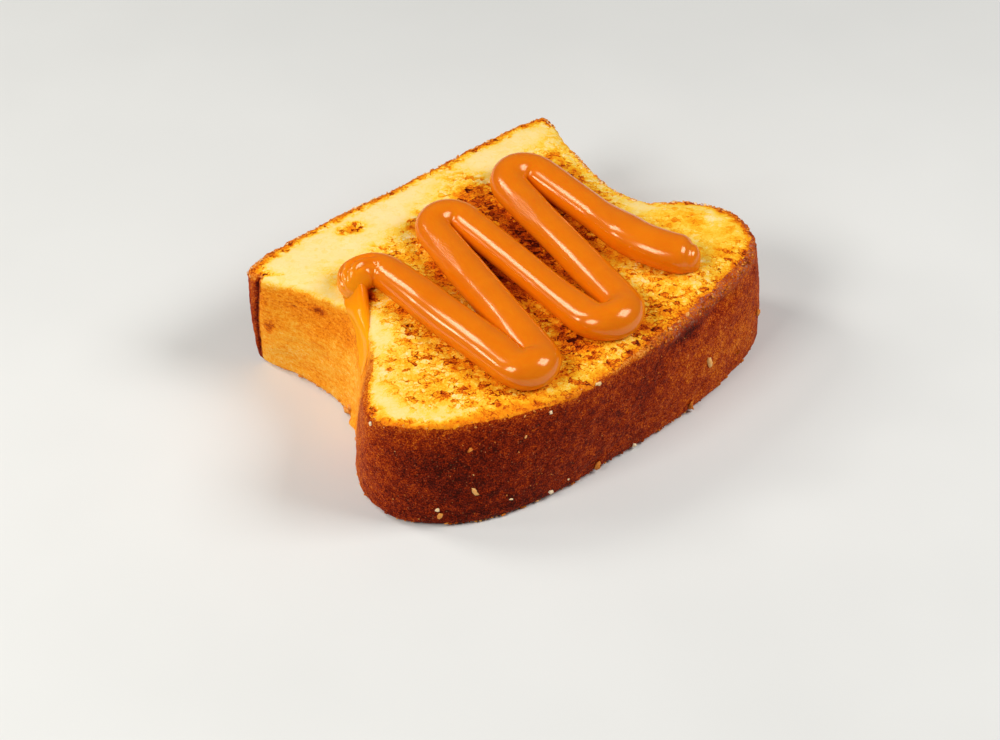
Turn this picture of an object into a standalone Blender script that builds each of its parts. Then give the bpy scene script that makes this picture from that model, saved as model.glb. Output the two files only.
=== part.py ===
"""French toast: a thick slice of a tin loaf, pan fried, with a piped zigzag of caramel on top.

Metres, +Z up. The slice lies on its lower cut face at z = 0. +X runs across the loaf, +Y points to
the crust that lay on the floor of the tin, and -Y to the domed crust. The origin is under the middle
of the slice's box.
"""
import bmesh
import bpy
import numpy as np

MM = 0.001

# ---- the slice of bread ------------------------------------------------------------------------
RIM_HEIGHT = 38.3 * MM        # height of the fried face at its edge
PILLOW_RISE = 1.4 * MM        # how much higher the face stands inside its rounded edge
PILLOW_WIDTH = 11.0 * MM      # how far in from the edge that rise is complete
CRISP_EDGE = 0.55             # share of that rise that the tin-floor side has at its very edge
CRISP_FROM = 40.0 * MM        # how far back, in y, the face starts to change to that crisp edge
CRISP_OVER = 16.0 * MM        # and the length that the change takes
RIM_ROUND = 1.8 * MM          # rounding where the wall turns into the fried face
FOOT_ROUND = 2.4 * MM         # rounding where the wall turns into the underside
BELLY = 0.9 * MM              # how far the wall swells out at mid height
FACE_RELIEF = 0.28 * MM       # height of the fried face's low waves
FACE_WAVES = (7.1 * MM, 8.3 * MM, 9.7 * MM)   # length of one radian of the waves in x, y and askew
WALL_RELIEF = 0.18 * MM       # height of each of the crust's two sets of shallow crags
WALL_WAVES = ((23, 210.0), (37, -330.0))      # their counts round the slice and radians a metre up
EDGE_POINTS = 112             # points round the slice
SPAN_POINTS = 8               # points to each span between two stations, before they are spaced

# Where the rings of points run round the slice: shares of the wall's height, degrees round the rim
# and, across the fried face, shares of the way from its middle to its edge.
WALL_RINGS = (0.015, 0.06, 0.16, 0.3, 0.45, 0.6, 0.75, 0.87, 0.95, 1.0)
WALL_START = 0.5 * MM
RIM_RINGS = (35.0, 65.0)
FACE_RINGS = (0.955, 0.92, 0.87, 0.8, 0.7, 0.58, 0.46, 0.34, 0.22, 0.11)

# Stations round the edge of the fried face, anticlockwise from above: x and y in mm, and how much
# further out the foot of the wall stands, in mm. Square corners are at the tin-floor crust; the
# waists are where the loaf rose clear of the tin, and the lobes are the two sides of its dome.
STATIONS = (
    ("right_corner", 60.8, 52.9, -0.3),
    ("floor_right", 57.5, 57.3, -0.4),
    ("floor_mid_right", 33.0, 58.3, -0.8),
    ("floor_middle", 1.0, 57.5, -0.2),
    ("floor_mid_left", -33.0, 57.7, -0.3),
    ("floor_left", -61.5, 55.3, -0.4),
    ("left_corner", -66.6, 49.4, -2.2),
    ("left_wall", -58.4, 33.4, 1.3),
    ("left_waist", -52.4, 16.8, 5.4),
    ("left_notch", -55.4, 3.8, 5.8),
    ("left_shoulder", -62.6, -6.4, 5.6),
    ("left_cheek", -72.2, -15.8, 2.8),
    ("left_lobe", -76.8, -25.8, 0.5),
    ("left_brow", -70.3, -37.0, 3.6),
    ("dome_left", -53.0, -48.6, 4.8),
    ("dome_mid_left", -30.0, -56.4, 1.6),
    ("dome_middle", -7.0, -57.1, 0.8),
    ("dome_mid_right", 19.0, -54.8, 2.8),
    ("dome_right", 45.0, -50.0, 4.0),
    ("right_brow", 67.8, -42.2, 3.0),
    ("right_lobe", 75.6, -27.2, 1.6),
    ("right_cheek", 72.6, -15.7, 2.4),
    ("right_shoulder", 65.5, -7.0, 2.6),
    ("right_notch", 56.4, -0.2, 3.2),
    ("right_waist", 53.4, 14.8, 3.1),
    ("right_wall", 56.8, 35.8, 2.2),
)

# Larger crags of the wall: the station each is at, its height, its half length along the edge, its
# half height, and how far it stands out (or, where negative, lies back), all in mm.
CRAGS = (
    ("dome_right", 31.5, 13.0, 4.0, -1.9),
    ("dome_right", 37.0, 14.0, 2.6, 0.9),
    ("dome_mid_right", 35.5, 9.0, 3.0, 0.6),
    ("left_notch", 2.5, 5.0, 3.0, 1.8),
    ("left_brow", 30.0, 9.0, 8.0, 0.7),
    ("right_lobe", 22.0, 10.0, 9.0, 0.8),
)

# ---- the caramel -------------------------------------------------------------------------------
RUN_HEIGHT = 0.75             # height of the bead above the bread, as a share of its width
RUN_ENDS = (0.3, 0.7)         # shares of a run between which it has its own width
BEAD_FLAT = 0.62              # share of its half width that the bead stands on
FLAT_POINTS = (-0.25, 0.25)   # the flat's own points, as shares of the half width
GAP = 0.35 * MM               # clearance between bread and caramel
MEETING_SHARE = 0.95          # share of the way to where two stretches would meet that each fills
BEAD_STEP = 2.8 * MM          # spacing of the sections along the bead
BEAD_SIDES = 14               # points round a section
ARC_POINTS = 13               # points round each turn
END_ANGLES = (12.0, 32.0, 52.0, 72.0, 90.0)   # where the sections of a rounded end cut its ball
END_HEIGHT = 0.35             # share of its height that the bead keeps at its very end

# The bead runs straight between its turns, and each turn follows a circle. The columns are the
# circle's centre, x and y, the radius of the bead's middle line, which is negative where the bead
# turns clockwise, the bead's width at the turn and along the run that follows it, and its height
# at the turn as a share of its width, all but the share in mm. The bead starts thin at the left
# edge, hooks over, and then runs down and up the slice five times.
TURNS = (
    ("over_the_edge", -51.0, 15.6, 0.0, 6.4, 9.0, 0.42),
    ("hook", -42.3, 17.9, -6.4, 12.2, 13.6, 0.80),
    ("pool_left", -28.6, -40.3, 4.5, 14.3, 12.7, 0.71),
    ("turn_one", -5.9, 24.1, -5.9, 12.1, 11.5, 0.75),
    ("pool_right", 5.7, -37.8, 6.7, 12.8, 12.1, 0.73),
    ("turn_two", 28.4, 26.5, -6.3, 12.6, 11.8, 0.77),
    ("last_bend", 73.0, -12.5, 37.4, 14.6, 13.0, 0.70),
    ("last_drop", 45.9, -38.9, 0.0, 14.2, 14.2, 0.67),
)


def closed_spline(points, samples):
    """Points on a smooth loop through the given points, `samples` of them to each span.

    Each span is a Catmull-Rom cubic, whose end slopes are half of the step between the points on
    either side of each end.
    """
    start = np.asarray(points, float)
    before, end, after = (np.roll(start, shift, axis=0) for shift in (1, -1, -2))
    share = (np.arange(samples) / samples)[None, :, None]
    before, start, end, after = (corner[:, None, :] for corner in (before, start, end, after))
    slope = end - before
    bend = 2 * before - 5 * start + 4 * end - after
    twist = 3 * (start - end) + after - before
    loop = 0.5 * (2 * start + slope * share + bend * share ** 2 + twist * share ** 3)
    return loop.reshape(-1, loop.shape[-1])


def arc_length(line):
    """Distance along a line of points from its first point to each."""
    steps = np.linalg.norm(np.diff(line[:, :2], axis=0), axis=1)
    return np.concatenate(((0.0,), np.cumsum(steps)))


def respaced(line, places):
    """The same line with points at the given distances along it, every column carried along."""
    length = arc_length(line)
    return np.column_stack([np.interp(places, length, column) for column in line.T])


def outward(line):
    """Unit normals of a closed line, pointing out of it."""
    along = np.roll(line, -1, axis=0) - np.roll(line, 1, axis=0)
    along /= np.linalg.norm(along, axis=1, keepdims=True)
    return np.column_stack((along[:, 1], -along[:, 0]))


def slice_edge():
    """The edge of the fried face: x, y and the foot's spread at each point, in metres."""
    points = [(x * MM, y * MM, spread * MM) for _, x, y, spread in STATIONS]
    return closed_spline(points, SPAN_POINTS)


def edge_distance(x, y):
    """Distance of each place in plan from the edge of the fried face, zero at the edge itself."""
    start = slice_edge()[:, :2]
    run = np.roll(start, -1, axis=0) - start
    away = np.stack((x, y), axis=-1)[..., None, :] - start
    share = np.clip((away * run).sum(-1) / (run * run).sum(-1), 0.0, 1.0)
    return np.linalg.norm(away - share[..., None] * run, axis=-1).min(-1)


def ease(value):
    """A smooth step from 0 to 1."""
    value = np.clip(value, 0.0, 1.0)
    return value * value * (3.0 - 2.0 * value)


def face_height(x, y):
    """Height of the fried face: a pillow that is rounded at its edge, with low waves."""
    inside = edge_distance(x, y)
    least = CRISP_EDGE * ease((y - CRISP_FROM) / CRISP_OVER)
    rise = PILLOW_RISE * (least + (1.0 - least) * np.sqrt(ease(inside / PILLOW_WIDTH)))
    across, deep, askew = FACE_WAVES
    waves = np.sin(x / across + 1.3) * np.sin(y / deep + 0.4) + 0.5 * np.sin((x - 1.6 * y) / askew)
    return RIM_HEIGHT + rise + FACE_RELIEF * waves * ease(inside / PILLOW_WIDTH)


def wall_crags(edge, height):
    """How far the wall stands out at one height, at each point of its edge."""
    bearing = np.arctan2(edge[:, 1], edge[:, 0])
    out = WALL_RELIEF * sum(np.sin(count * bearing + climb * height) for count, climb in WALL_WAVES)
    places = {name: (x * MM, y * MM) for name, x, y, _ in STATIONS}
    for station, level, half_length, half_height, depth in CRAGS:
        along = np.linalg.norm(edge[:, :2] - places[station], axis=1) / (half_length * MM)
        up = abs(height - level * MM) / (half_height * MM)
        out += depth * MM * ease(1.0 - along) * ease(1.0 - up)
    return out


def loft(name, rings, low_pole, high_pole):
    """A closed body through rings of equal count, listed upwards and anticlockwise from above."""
    mesh = bpy.data.meshes.new(name)
    body = bmesh.new()
    rows = [[body.verts.new(point) for point in ring] for ring in rings]
    low = body.verts.new(low_pole)
    high = body.verts.new(high_pole)
    count = len(rows[0])
    for i in range(count):
        j = (i + 1) % count
        body.faces.new((low, rows[0][j], rows[0][i]))
        body.faces.new((high, rows[-1][i], rows[-1][j]))
        for under, over in zip(rows, rows[1:]):
            body.faces.new((under[i], under[j], over[j], over[i]))
    bmesh.ops.triangulate(body, faces=body.faces)
    body.to_mesh(mesh)
    body.free()
    mesh.shade_smooth()
    item = bpy.data.objects.new(name, mesh)
    bpy.data.collections["french_toast"].objects.link(item)
    return item


def material(name, colour, roughness):
    """A Principled material with a plain colour."""
    made = bpy.data.materials.new(name)
    made.use_nodes = True
    shader = made.node_tree.nodes["Principled BSDF"]
    shader.inputs["Base Color"].default_value = (*colour, 1.0)
    shader.inputs["Roughness"].default_value = roughness
    return made


def at_height(plan, height):
    """Points in plan lifted to a height, one number or one for each point."""
    return np.column_stack((plan, np.broadcast_to(height, len(plan))))


def underside_and_wall(edge):
    """Rings of the slice from its flat underside up to the top of its wall."""
    out = outward(edge[:, :2])
    foot = edge[:, :2] + out * edge[:, 2:]
    rings = [at_height(foot - out * 2 * FOOT_ROUND, 0.0), at_height(foot - out * FOOT_ROUND, 0.0)]
    wall_top = RIM_HEIGHT - RIM_ROUND
    for share in WALL_RINGS:
        height = WALL_START + share * (wall_top - WALL_START)
        rounding = max(0.0, 1.0 - height / FOOT_ROUND)
        tucked = FOOT_ROUND * (1.0 - np.sqrt(1.0 - rounding ** 2))
        crags = wall_crags(edge, height) * (1.0 - rounding)
        reach = BELLY * np.sin(np.pi * share) - tucked + crags
        plan = foot + (edge[:, :2] - foot) * share
        rings.append(at_height(plan + out * reach[:, None], height))
    return rings


def fried_face(edge):
    """Rings of the slice over its rounded rim and across the fried face to its middle."""
    out = outward(edge[:, :2])
    rings = []
    for turn in RIM_RINGS:
        angle = np.radians(turn)
        plan = edge[:, :2] - out * RIM_ROUND * (1.0 - np.cos(angle))
        rings.append(at_height(plan, RIM_HEIGHT - RIM_ROUND * (1.0 - np.sin(angle))))
    for share in FACE_RINGS:
        plan = edge[:, :2] * share
        rings.append(at_height(plan, face_height(plan[:, 0], plan[:, 1])))
    return rings


def build_slice():
    """The slice of bread, one solid from its underside to its fried face."""
    edge = slice_edge()
    edge = np.vstack((edge, edge[:1]))
    edge = respaced(edge, np.linspace(0.0, arc_length(edge)[-1], EDGE_POINTS, endpoint=False))
    rings = underside_and_wall(edge) + fried_face(edge)
    middle = face_height(np.zeros(1), np.zeros(1))[0]
    item = loft("toast", rings, (0.0, 0.0, 0.0), (0.0, 0.0, middle))
    item.data.materials.append(material("egg-soaked bread, pan fried", (0.62, 0.27, 0.045), 0.6))
    return item


def with_size(plan, width, height):
    """Points in plan with a width and a height beside each."""
    return np.column_stack((plan, np.full(len(plan), width), np.full(len(plan), height)))


def bead_line():
    """The bead's middle line: x, y, width and height at each point, in metres.

    A straight run touches the circles at both of its ends. Its heading follows from the line
    between their centres, turned by the angle whose sine is the difference of the radii over the
    distance between the centres.
    """
    turns = np.array([turn[1:] for turn in TURNS])
    turns[:, :5] *= MM
    away = np.diff(turns[:, :3], axis=0)
    distance = np.hypot(away[:, 0], away[:, 1])
    heading = np.unwrap(np.arctan2(away[:, 1], away[:, 0]) - np.arcsin(away[:, 2] / distance))
    pieces = []
    for i, (x, y, radius, width, _, tall) in enumerate(turns):
        arrives, leaves = heading[max(i - 1, 0)], heading[min(i, len(heading) - 1)]
        if radius * (leaves - arrives) < 0.0:
            leaves += np.copysign(2 * np.pi, radius)
        angle = np.linspace(arrives, leaves, ARC_POINTS)[:, None]
        arc = np.hstack((x + radius * np.sin(angle), y - radius * np.cos(angle)))
        if pieces:
            start, run_width = pieces[-1][-1, :2], turns[i - 1, 4]
            run = start + (arc[0] - start) * np.array(RUN_ENDS)[:, None]
            pieces.append(with_size(run, run_width, run_width * RUN_HEIGHT))
        pieces.append(with_size(arc, width, width * tall))
    return np.vstack(pieces)


def free_reach(plan, side):
    """How far the bead may reach to one side of each point before it meets the rest of itself.

    Two points of the line are equally near to a place that lies off to the side by their distance
    squared over twice the part of that distance that points to the side. In a turn this is the
    turn's radius, and between two close stretches it is half of the way across. The identity
    matrix moves each point a metre away from itself.
    """
    away = plan[None, :, :] - plan[:, None, :]
    toward = np.maximum((away * side[:, None, :]).sum(-1), 1e-9)
    return ((away ** 2).sum(-1) / (2 * toward) + np.eye(len(plan))).min(1)


def bead_sections():
    """Sections along the bead, and the two points that close its rounded ends.

    A section is an ellipse cut off flat where it stands on the bread. Both its sizes shrink over
    the ends as a ball's do, and it stops short of where it would meet another stretch.
    """
    line = bead_line()
    line = line[np.concatenate(((True,), np.diff(arc_length(line)) > 0.0))]
    whole = arc_length(line)[-1]
    ball = np.sin(np.radians(END_ANGLES))
    taper = 0.5 * line[-1, 2] * (1.0 - np.cos(np.radians(END_ANGLES)))
    middle = np.linspace(taper[-1], whole - taper[-1], int(whole / BEAD_STEP))[1:-1]
    length = np.concatenate((taper, middle, whole - taper[::-1]))
    line = respaced(line, length)
    along = np.gradient(line[:, :2], length, axis=0)
    along /= np.linalg.norm(along, axis=1, keepdims=True)
    left = np.column_stack((-along[:, 1], along[:, 0]))
    left_free = MEETING_SHARE * free_reach(line[:, :2], left)
    right_free = MEETING_SHARE * free_reach(line[:, :2], -left)
    ball = np.concatenate((ball, np.ones(len(middle)), ball[::-1]))
    half_width = 0.5 * line[:, 2] * ball
    height = line[:, 3] * (END_HEIGHT + (1.0 - END_HEIGHT) * ball)
    low_angle = -np.arccos(BEAD_FLAT)
    angles = np.linspace(low_angle, np.pi - low_angle, BEAD_SIDES - len(FLAT_POINTS))
    across = np.concatenate((np.cos(angles), FLAT_POINTS))
    up = np.concatenate((np.sin(angles), np.full(len(FLAT_POINTS), np.sin(low_angle))))
    up = (up - up.min()) / (up.max() - up.min())
    rings = []
    for i, (here, side) in enumerate(zip(line[:, :2], left)):
        reach = np.clip(across * half_width[i], -right_free[i], left_free[i])
        plan = here + reach[:, None] * side
        top = face_height(plan[:, 0], plan[:, 1]) + GAP + up * height[i]
        rings.append(at_height(plan, top))
    return rings, rings[0].mean(0), rings[-1].mean(0)


def build_caramel():
    """The piped caramel, one solid that lies on the fried face."""
    rings, first_pole, last_pole = bead_sections()
    item = loft("caramel", rings, first_pole, last_pole)
    item.data.materials.append(material("caramel, set soft and glossy", (0.61, 0.16, 0.006), 0.2))
    return item


def main():
    """Clears the file and builds the slice and the caramel on it."""
    for item in list(bpy.data.objects):
        bpy.data.objects.remove(item, do_unlink=True)
    collection = bpy.data.collections.new("french_toast")
    bpy.context.scene.collection.children.link(collection)
    build_slice()
    build_caramel()


main()
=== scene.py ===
"""French toast: a thick slice of a tin loaf, fried in butter, with a piped zigzag of soft caramel.

Metres, +Z up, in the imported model's frame. The slice lies on its lower cut face. +Y points to the
crust from the floor of the tin and -Y to the domed crust. Every shape is a numpy surface: the bread
is one skin over a square grid and rows of points round its wall, and the caramel is a section
carried along the piped line. Random fields are hashed from whole numbers, so each run is the same.
"""
import logging
import sys
from dataclasses import dataclass
from enum import Enum
from functools import partial
from typing import Any

import bpy
import numpy as np
from bpy.types import Material, NodeSocket, NodeTree, Object
from mathutils import Euler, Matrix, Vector
from numpy import ndarray as Array


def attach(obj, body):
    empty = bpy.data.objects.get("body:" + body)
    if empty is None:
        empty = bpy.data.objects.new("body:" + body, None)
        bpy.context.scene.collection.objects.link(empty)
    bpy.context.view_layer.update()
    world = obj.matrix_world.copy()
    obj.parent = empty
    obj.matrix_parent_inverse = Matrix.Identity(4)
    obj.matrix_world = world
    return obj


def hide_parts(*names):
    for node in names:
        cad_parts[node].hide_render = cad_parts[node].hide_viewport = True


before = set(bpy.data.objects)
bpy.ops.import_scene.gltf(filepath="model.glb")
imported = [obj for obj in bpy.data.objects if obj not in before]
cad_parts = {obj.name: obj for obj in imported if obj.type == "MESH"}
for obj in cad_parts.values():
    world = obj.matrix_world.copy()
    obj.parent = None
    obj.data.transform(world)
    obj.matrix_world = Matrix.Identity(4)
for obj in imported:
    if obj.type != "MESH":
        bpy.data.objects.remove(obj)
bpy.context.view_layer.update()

MM = 0.001
LOG = logging.getLogger("french_toast")


# ---- colours, nodes and meshes -----------------------------------------------------------------
def linear(colour: str) -> tuple[float, float, float, float]:
    """Turns an sRGB hex colour into the linear colour that a shader takes.

    Args:
        colour: six hex digits after a hash sign.

    Returns:
        Red, green, blue and an alpha of one.
    """
    parts = np.array([int(colour[i:i + 2], 16) / 255.0 for i in (1, 3, 5)])
    low = parts / 12.92
    high = ((parts + 0.055) / 1.055) ** 2.4
    red, green, blue = np.where(parts <= 0.04045, low, high)
    return float(red), float(green), float(blue), 1.0


def add_node(tree: NodeTree, kind: str, inputs: dict[Any, Any] | None = None,
             settings: dict[str, Any] | None = None, out: str | int = 0,
             stops: list[tuple[float, str]] | None = None) -> NodeSocket | None:
    """Adds one node with its settings, its inputs and, on a colour ramp, its stops.

    Args:
        tree: the material's node tree.
        kind: Blender's name for the node, less the words that all of them begin with.
        inputs: each input by name or number, set to a value or joined to another node's output.
        settings: the node's own settings by name.
        out: name or number of the output that is wanted.
        stops: places and sRGB hex colours of a ramp, in rising order.

    Returns:
        That output, or nothing for a node that has none.
    """
    node = tree.nodes.new("ShaderNode" + kind)
    for key, value in (settings or {}).items():
        setattr(node, key, value)
    for key, value in (inputs or {}).items():
        if isinstance(value, NodeSocket):
            tree.links.new(value, node.inputs[key])
        else:
            node.inputs[key].default_value = value
    if stops:
        ramp = node.color_ramp
        while len(ramp.elements) < len(stops):
            ramp.elements.new(1.0)
        for element, (place, colour) in zip(ramp.elements, stops):
            element.position = place
            element.color = linear(colour)
    return node.outputs[out] if node.outputs else None


def weighted_sum(tree: NodeTree, parts: tuple[tuple[Any, float], ...], start: float) -> NodeSocket:
    """A start plus each value times its own factor, one multiply-add to a value.

    Args:
        tree: the material's node tree.
        parts: values and their factors.
        start: number that the sum starts from.

    Returns:
        The sum's output.
    """
    total: Any = start
    for value, factor in parts:
        total = add_node(tree, "Math", {0: value, 1: factor, 2: total}, {"operation": "MULTIPLY_ADD"})
    return total


def blank_material(name: str) -> tuple[Material, NodeTree]:
    """Makes a material with nothing but its output node.

    Args:
        name: what the real material is.

    Returns:
        The material and its node tree.
    """
    made = bpy.data.materials.new(name)
    made.use_nodes = True
    made.node_tree.nodes.clear()
    return made, made.node_tree


def mesh_object(name: str, points: Array, faces: list[Array],
                values: dict[str, Array] | None = None) -> Object:
    """Makes a smooth-shaded mesh object at the origin from whole arrays.

    Args:
        name: the piece's name.
        points: one row of x, y and z for each vertex.
        faces: arrays of vertex numbers, each with one row for a face, and any count of corners.
        values: numbers for each vertex that the material reads, by name.

    Returns:
        The object, linked to the scene.
    """
    mesh = bpy.data.meshes.new(name)
    corners = np.concatenate([part.ravel() for part in faces]).astype(np.int32)
    sizes = np.concatenate([np.full(len(part), part.shape[1]) for part in faces])
    starts = np.concatenate(((0,), np.cumsum(sizes)[:-1])).astype(np.int32)
    mesh.vertices.add(len(points))
    mesh.vertices.foreach_set("co", points.astype(np.float32).ravel())
    mesh.loops.add(len(corners))
    mesh.loops.foreach_set("vertex_index", corners)
    mesh.polygons.add(len(starts))
    mesh.polygons.foreach_set("loop_start", starts)
    mesh.update(calc_edges=True)
    for key, numbers in (values or {}).items():
        layer = mesh.attributes.new(key, "FLOAT", "POINT")
        layer.data.foreach_set("value", np.asarray(numbers, np.float32))
    mesh.shade_smooth()
    item = bpy.data.objects.new(name, mesh)
    bpy.context.scene.collection.objects.link(item)
    return item


def vertex_normals(points: Array, quads: Array) -> Array:
    """Unit normals of a mesh of four-cornered faces.

    Each vertex takes the sum of its faces' cross products of diagonals, made one unit long.

    Args:
        points: one row for each vertex.
        quads: four vertex numbers for each face.

    Returns:
        One unit vector for each vertex.
    """
    first, second, third, fourth = (points[quads[:, k]] for k in range(4))
    facing = np.cross(third - first, fourth - second)
    total = np.zeros_like(points)
    for k in range(4):
        np.add.at(total, quads[:, k], facing)
    return total / np.maximum(np.linalg.norm(total, axis=1, keepdims=True), 1e-12)


def grid_quads(rows: int, columns: int, closed: bool, start: int = 0) -> Array:
    """Faces between neighbouring points of a grid that is numbered row by row.

    Args:
        rows: count of rows.
        columns: count of points in a row.
        closed: whether each row joins up end to end.
        start: number of the grid's first vertex.

    Returns:
        Four vertex numbers for each face.
    """
    across = np.arange(columns if closed else columns - 1)
    beside = (across + 1) % columns
    below = start + np.arange(rows - 1)[:, None] * columns
    quads = np.stack((below + across, below + beside, below + columns + beside,
                      below + columns + across), axis=-1)
    return quads.reshape(-1, 4)


# ---- repeatable random fields ------------------------------------------------------------------
HASH_PRIMES = np.array((73856093, 19349663, 83492791), np.int64)
HASH_SEED = 2654435
HASH_STIR = 0x2C1B3C6D
HASH_MASK = 0xFFFFFFFF


def hashed(cells: Array, seed: int) -> Array:
    """Random numbers from 0 to 1, one for each whole-number cell.

    The cell's three numbers are each multiplied by a large prime and summed with the seed, and the
    sum is twice shifted down, laid over itself and multiplied again.

    Args:
        cells: whole numbers, three to a row.
        seed: which of the fields.

    Returns:
        One number for each row.
    """
    value = ((cells.astype(np.int64) * HASH_PRIMES).sum(-1) + seed * HASH_SEED) & HASH_MASK
    for _ in range(2):
        value = ((value ^ (value >> 15)) * HASH_STIR) & HASH_MASK
    return (value ^ (value >> 13)) / HASH_MASK


def ease(value: Array) -> Array:
    """A smooth step from 0 to 1."""
    value = np.clip(value, 0.0, 1.0)
    return value * value * (3.0 - 2.0 * value)


def cloud(points: Array, size: float, seed: int) -> Array:
    """Smooth random bumps from -1 to 1.

    The eight corners of each cell have a random number, and the place within the cell mixes them
    by a smooth step in each direction.

    Args:
        points: places in space, three to a row.
        size: width of a cell in the points' own unit.
        seed: which of the fields.

    Returns:
        One number for each point.
    """
    scaled = points / size
    low = np.floor(scaled)
    share = ease(scaled - low)
    total = np.zeros(len(points))
    for corner in np.ndindex(2, 2, 2):
        weight = np.prod(np.where(corner, share, 1.0 - share), axis=-1)
        total += weight * hashed(low + corner, seed)
    return total * 2.0 - 1.0


@dataclass(frozen=True)
class Bumps:
    """A field of soft bumps on bumps: its largest size in mm, its layers, its seed and its height."""

    size: float
    layers: int
    seed: int
    height: float = 1.0

    def at(self, points: Array) -> Array:
        """The field's height at points.

        Each layer of `cloud` has half the size and 0.6 of the height of the one before. The sum is
        divided by the heights' own sum and made half as much again, so that it nearly fills -1 to 1.

        Args:
            points: places in space, three to a row.

        Returns:
            One height for each point.
        """
        heights = 0.6 ** np.arange(self.layers)
        parts = [cloud(points, self.size * MM / 2 ** k, self.seed + k) * height
                 for k, height in enumerate(heights)]
        return self.height * (sum(parts) / heights.sum() * 1.5)


@dataclass(frozen=True)
class Grain:
    """A field of soft bumps of one size in mm, with its seed and its height."""

    size: float
    seed: int
    height: float = 1.0

    def at(self, points: Array) -> Array:
        """Its height at each point."""
        return self.height * cloud(points, self.size * MM, self.seed)


@dataclass(frozen=True)
class Stretch:
    """A stretch of the slice's edge: its start and end, and how far each takes to fade, in mm."""

    start: float
    fade_in: float
    end: float
    fade_out: float

    def share(self, place: Array) -> Array:
        """1 well inside the stretch and 0 outside it."""
        begun = ease((place / MM - self.start) / self.fade_in)
        return begun * ease((self.end - place / MM) / self.fade_out)


def pebbles(points: Array, size: float, seed: int) -> tuple[Array, Array, Array]:
    """A pattern of packed pebbles, one in each cell, with its middle at a random place there.

    Args:
        points: places in space, three to a row.
        size: width of a cell in the points' own unit.
        seed: which of the fields.

    Returns:
        Distance to the nearest middle and how much further the next one is, both as shares of a
        cell's width, and the nearest pebble's own random number.
    """
    scaled = points / size
    low = np.floor(scaled)
    nearest = np.full(len(points), 9.0)
    second = np.full(len(points), 9.0)
    own = np.zeros(len(points))
    for offset in np.ndindex(3, 3, 3):
        cell = low + offset - 1.0
        middle = cell + np.stack([hashed(cell, seed + k) for k in range(3)], axis=-1)
        away = np.linalg.norm(scaled - middle, axis=-1)
        nearer = away < nearest
        second = np.where(nearer, nearest, np.minimum(second, away))
        own = np.where(nearer, hashed(cell, seed + 3), own)
        nearest = np.where(nearer, away, nearest)
    return nearest, second - nearest, own


# ---- the slice's form --------------------------------------------------------------------------
class Side(Enum):
    """Which surface of the slice a hole lies in, and so what its two numbers mean."""

    FACE = "x and y across the fried face"
    WALL = "distance round the edge and height up the wall"


@dataclass(frozen=True)
class Station:
    """A named place on the edge of the fried face, and how the bread is there.

    x, y, spread (how much further out the foot of the wall stands), lip (width of the crust seen
    from above) and ragged (how far the edge is torn in and out) are in mm. crust is 1 on baked
    crust and 0 on crumb, bake is the crust's darkness, and margin is how pale the face's edge is.
    """

    name: str
    x: float
    y: float
    spread: float
    crust: float
    bake: float
    margin: float
    lip: float
    ragged: float


STATIONS = (
    Station("right_corner", 60.8, 52.9, -0.3, 1.0, 0.50, 0.5, 1.0, 0.40),
    Station("floor_right", 57.5, 57.3, -0.4, 1.0, 0.50, 0.6, 1.5, 0.40),
    Station("floor_mid_right", 33.0, 58.3, -0.8, 1.0, 0.55, 0.6, 1.5, 0.40),
    Station("floor_middle", 1.0, 57.5, -0.2, 1.0, 0.50, 0.7, 1.4, 0.40),
    Station("floor_mid_left", -33.0, 57.7, -0.3, 1.0, 0.55, 0.9, 1.5, 0.45),
    Station("floor_left", -61.5, 55.3, -0.4, 1.0, 0.65, 1.0, 1.8, 0.35),
    Station("left_corner", -66.6, 49.4, -2.2, 1.0, 0.50, 0.7, 1.9, 0.20),
    Station("left_wall", -58.4, 33.4, 1.3, 0.0, 0.30, 0.9, 0.0, 0.10),
    Station("left_waist", -52.4, 16.8, 5.4, 0.0, 0.30, 0.8, 0.0, 0.10),
    Station("left_notch", -55.4, 3.8, 5.8, 0.0, 0.35, 1.0, 0.2, 0.25),
    Station("left_shoulder", -62.6, -6.4, 5.6, 0.7, 0.30, 1.0, 0.4, 0.30),
    Station("left_cheek", -72.2, -15.8, 2.8, 1.0, 0.45, 1.0, 0.6, 0.25),
    Station("left_lobe", -76.8, -25.8, 0.5, 1.0, 0.62, 1.0, 0.7, 0.20),
    Station("left_brow", -70.3, -37.0, 3.6, 1.0, 0.78, 0.9, 0.6, 0.15),
    Station("dome_left", -53.0, -48.6, 4.8, 1.0, 0.80, 0.8, 0.6, 0.15),
    Station("dome_mid_left", -30.0, -56.4, 1.6, 1.0, 0.76, 0.5, 0.8, 0.20),
    Station("dome_middle", -7.0, -57.1, 0.8, 1.0, 0.68, 0.3, 1.0, 0.25),
    Station("dome_mid_right", 19.0, -54.8, 2.8, 1.0, 0.65, 0.2, 1.8, 0.45),
    Station("dome_right", 45.0, -50.0, 4.0, 1.0, 0.58, 0.3, 2.3, 0.45),
    Station("right_brow", 67.8, -42.2, 3.0, 1.0, 0.58, 0.4, 1.9, 0.40),
    Station("right_lobe", 75.6, -27.2, 1.6, 1.0, 0.50, 0.5, 1.3, 0.45),
    Station("right_cheek", 72.6, -15.7, 2.4, 1.0, 0.50, 0.4, 1.0, 0.50),
    Station("right_shoulder", 65.5, -7.0, 2.6, 0.8, 0.50, 0.4, 0.8, 0.60),
    Station("right_notch", 56.4, -0.2, 3.2, 0.1, 0.40, 0.7, 0.6, 0.60),
    Station("right_waist", 53.4, 14.8, 3.1, 0.0, 0.35, 0.4, 0.5, 0.40),
    Station("right_wall", 56.8, 35.8, 2.2, 0.0, 0.35, 0.4, 0.5, 0.35),
)

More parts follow.
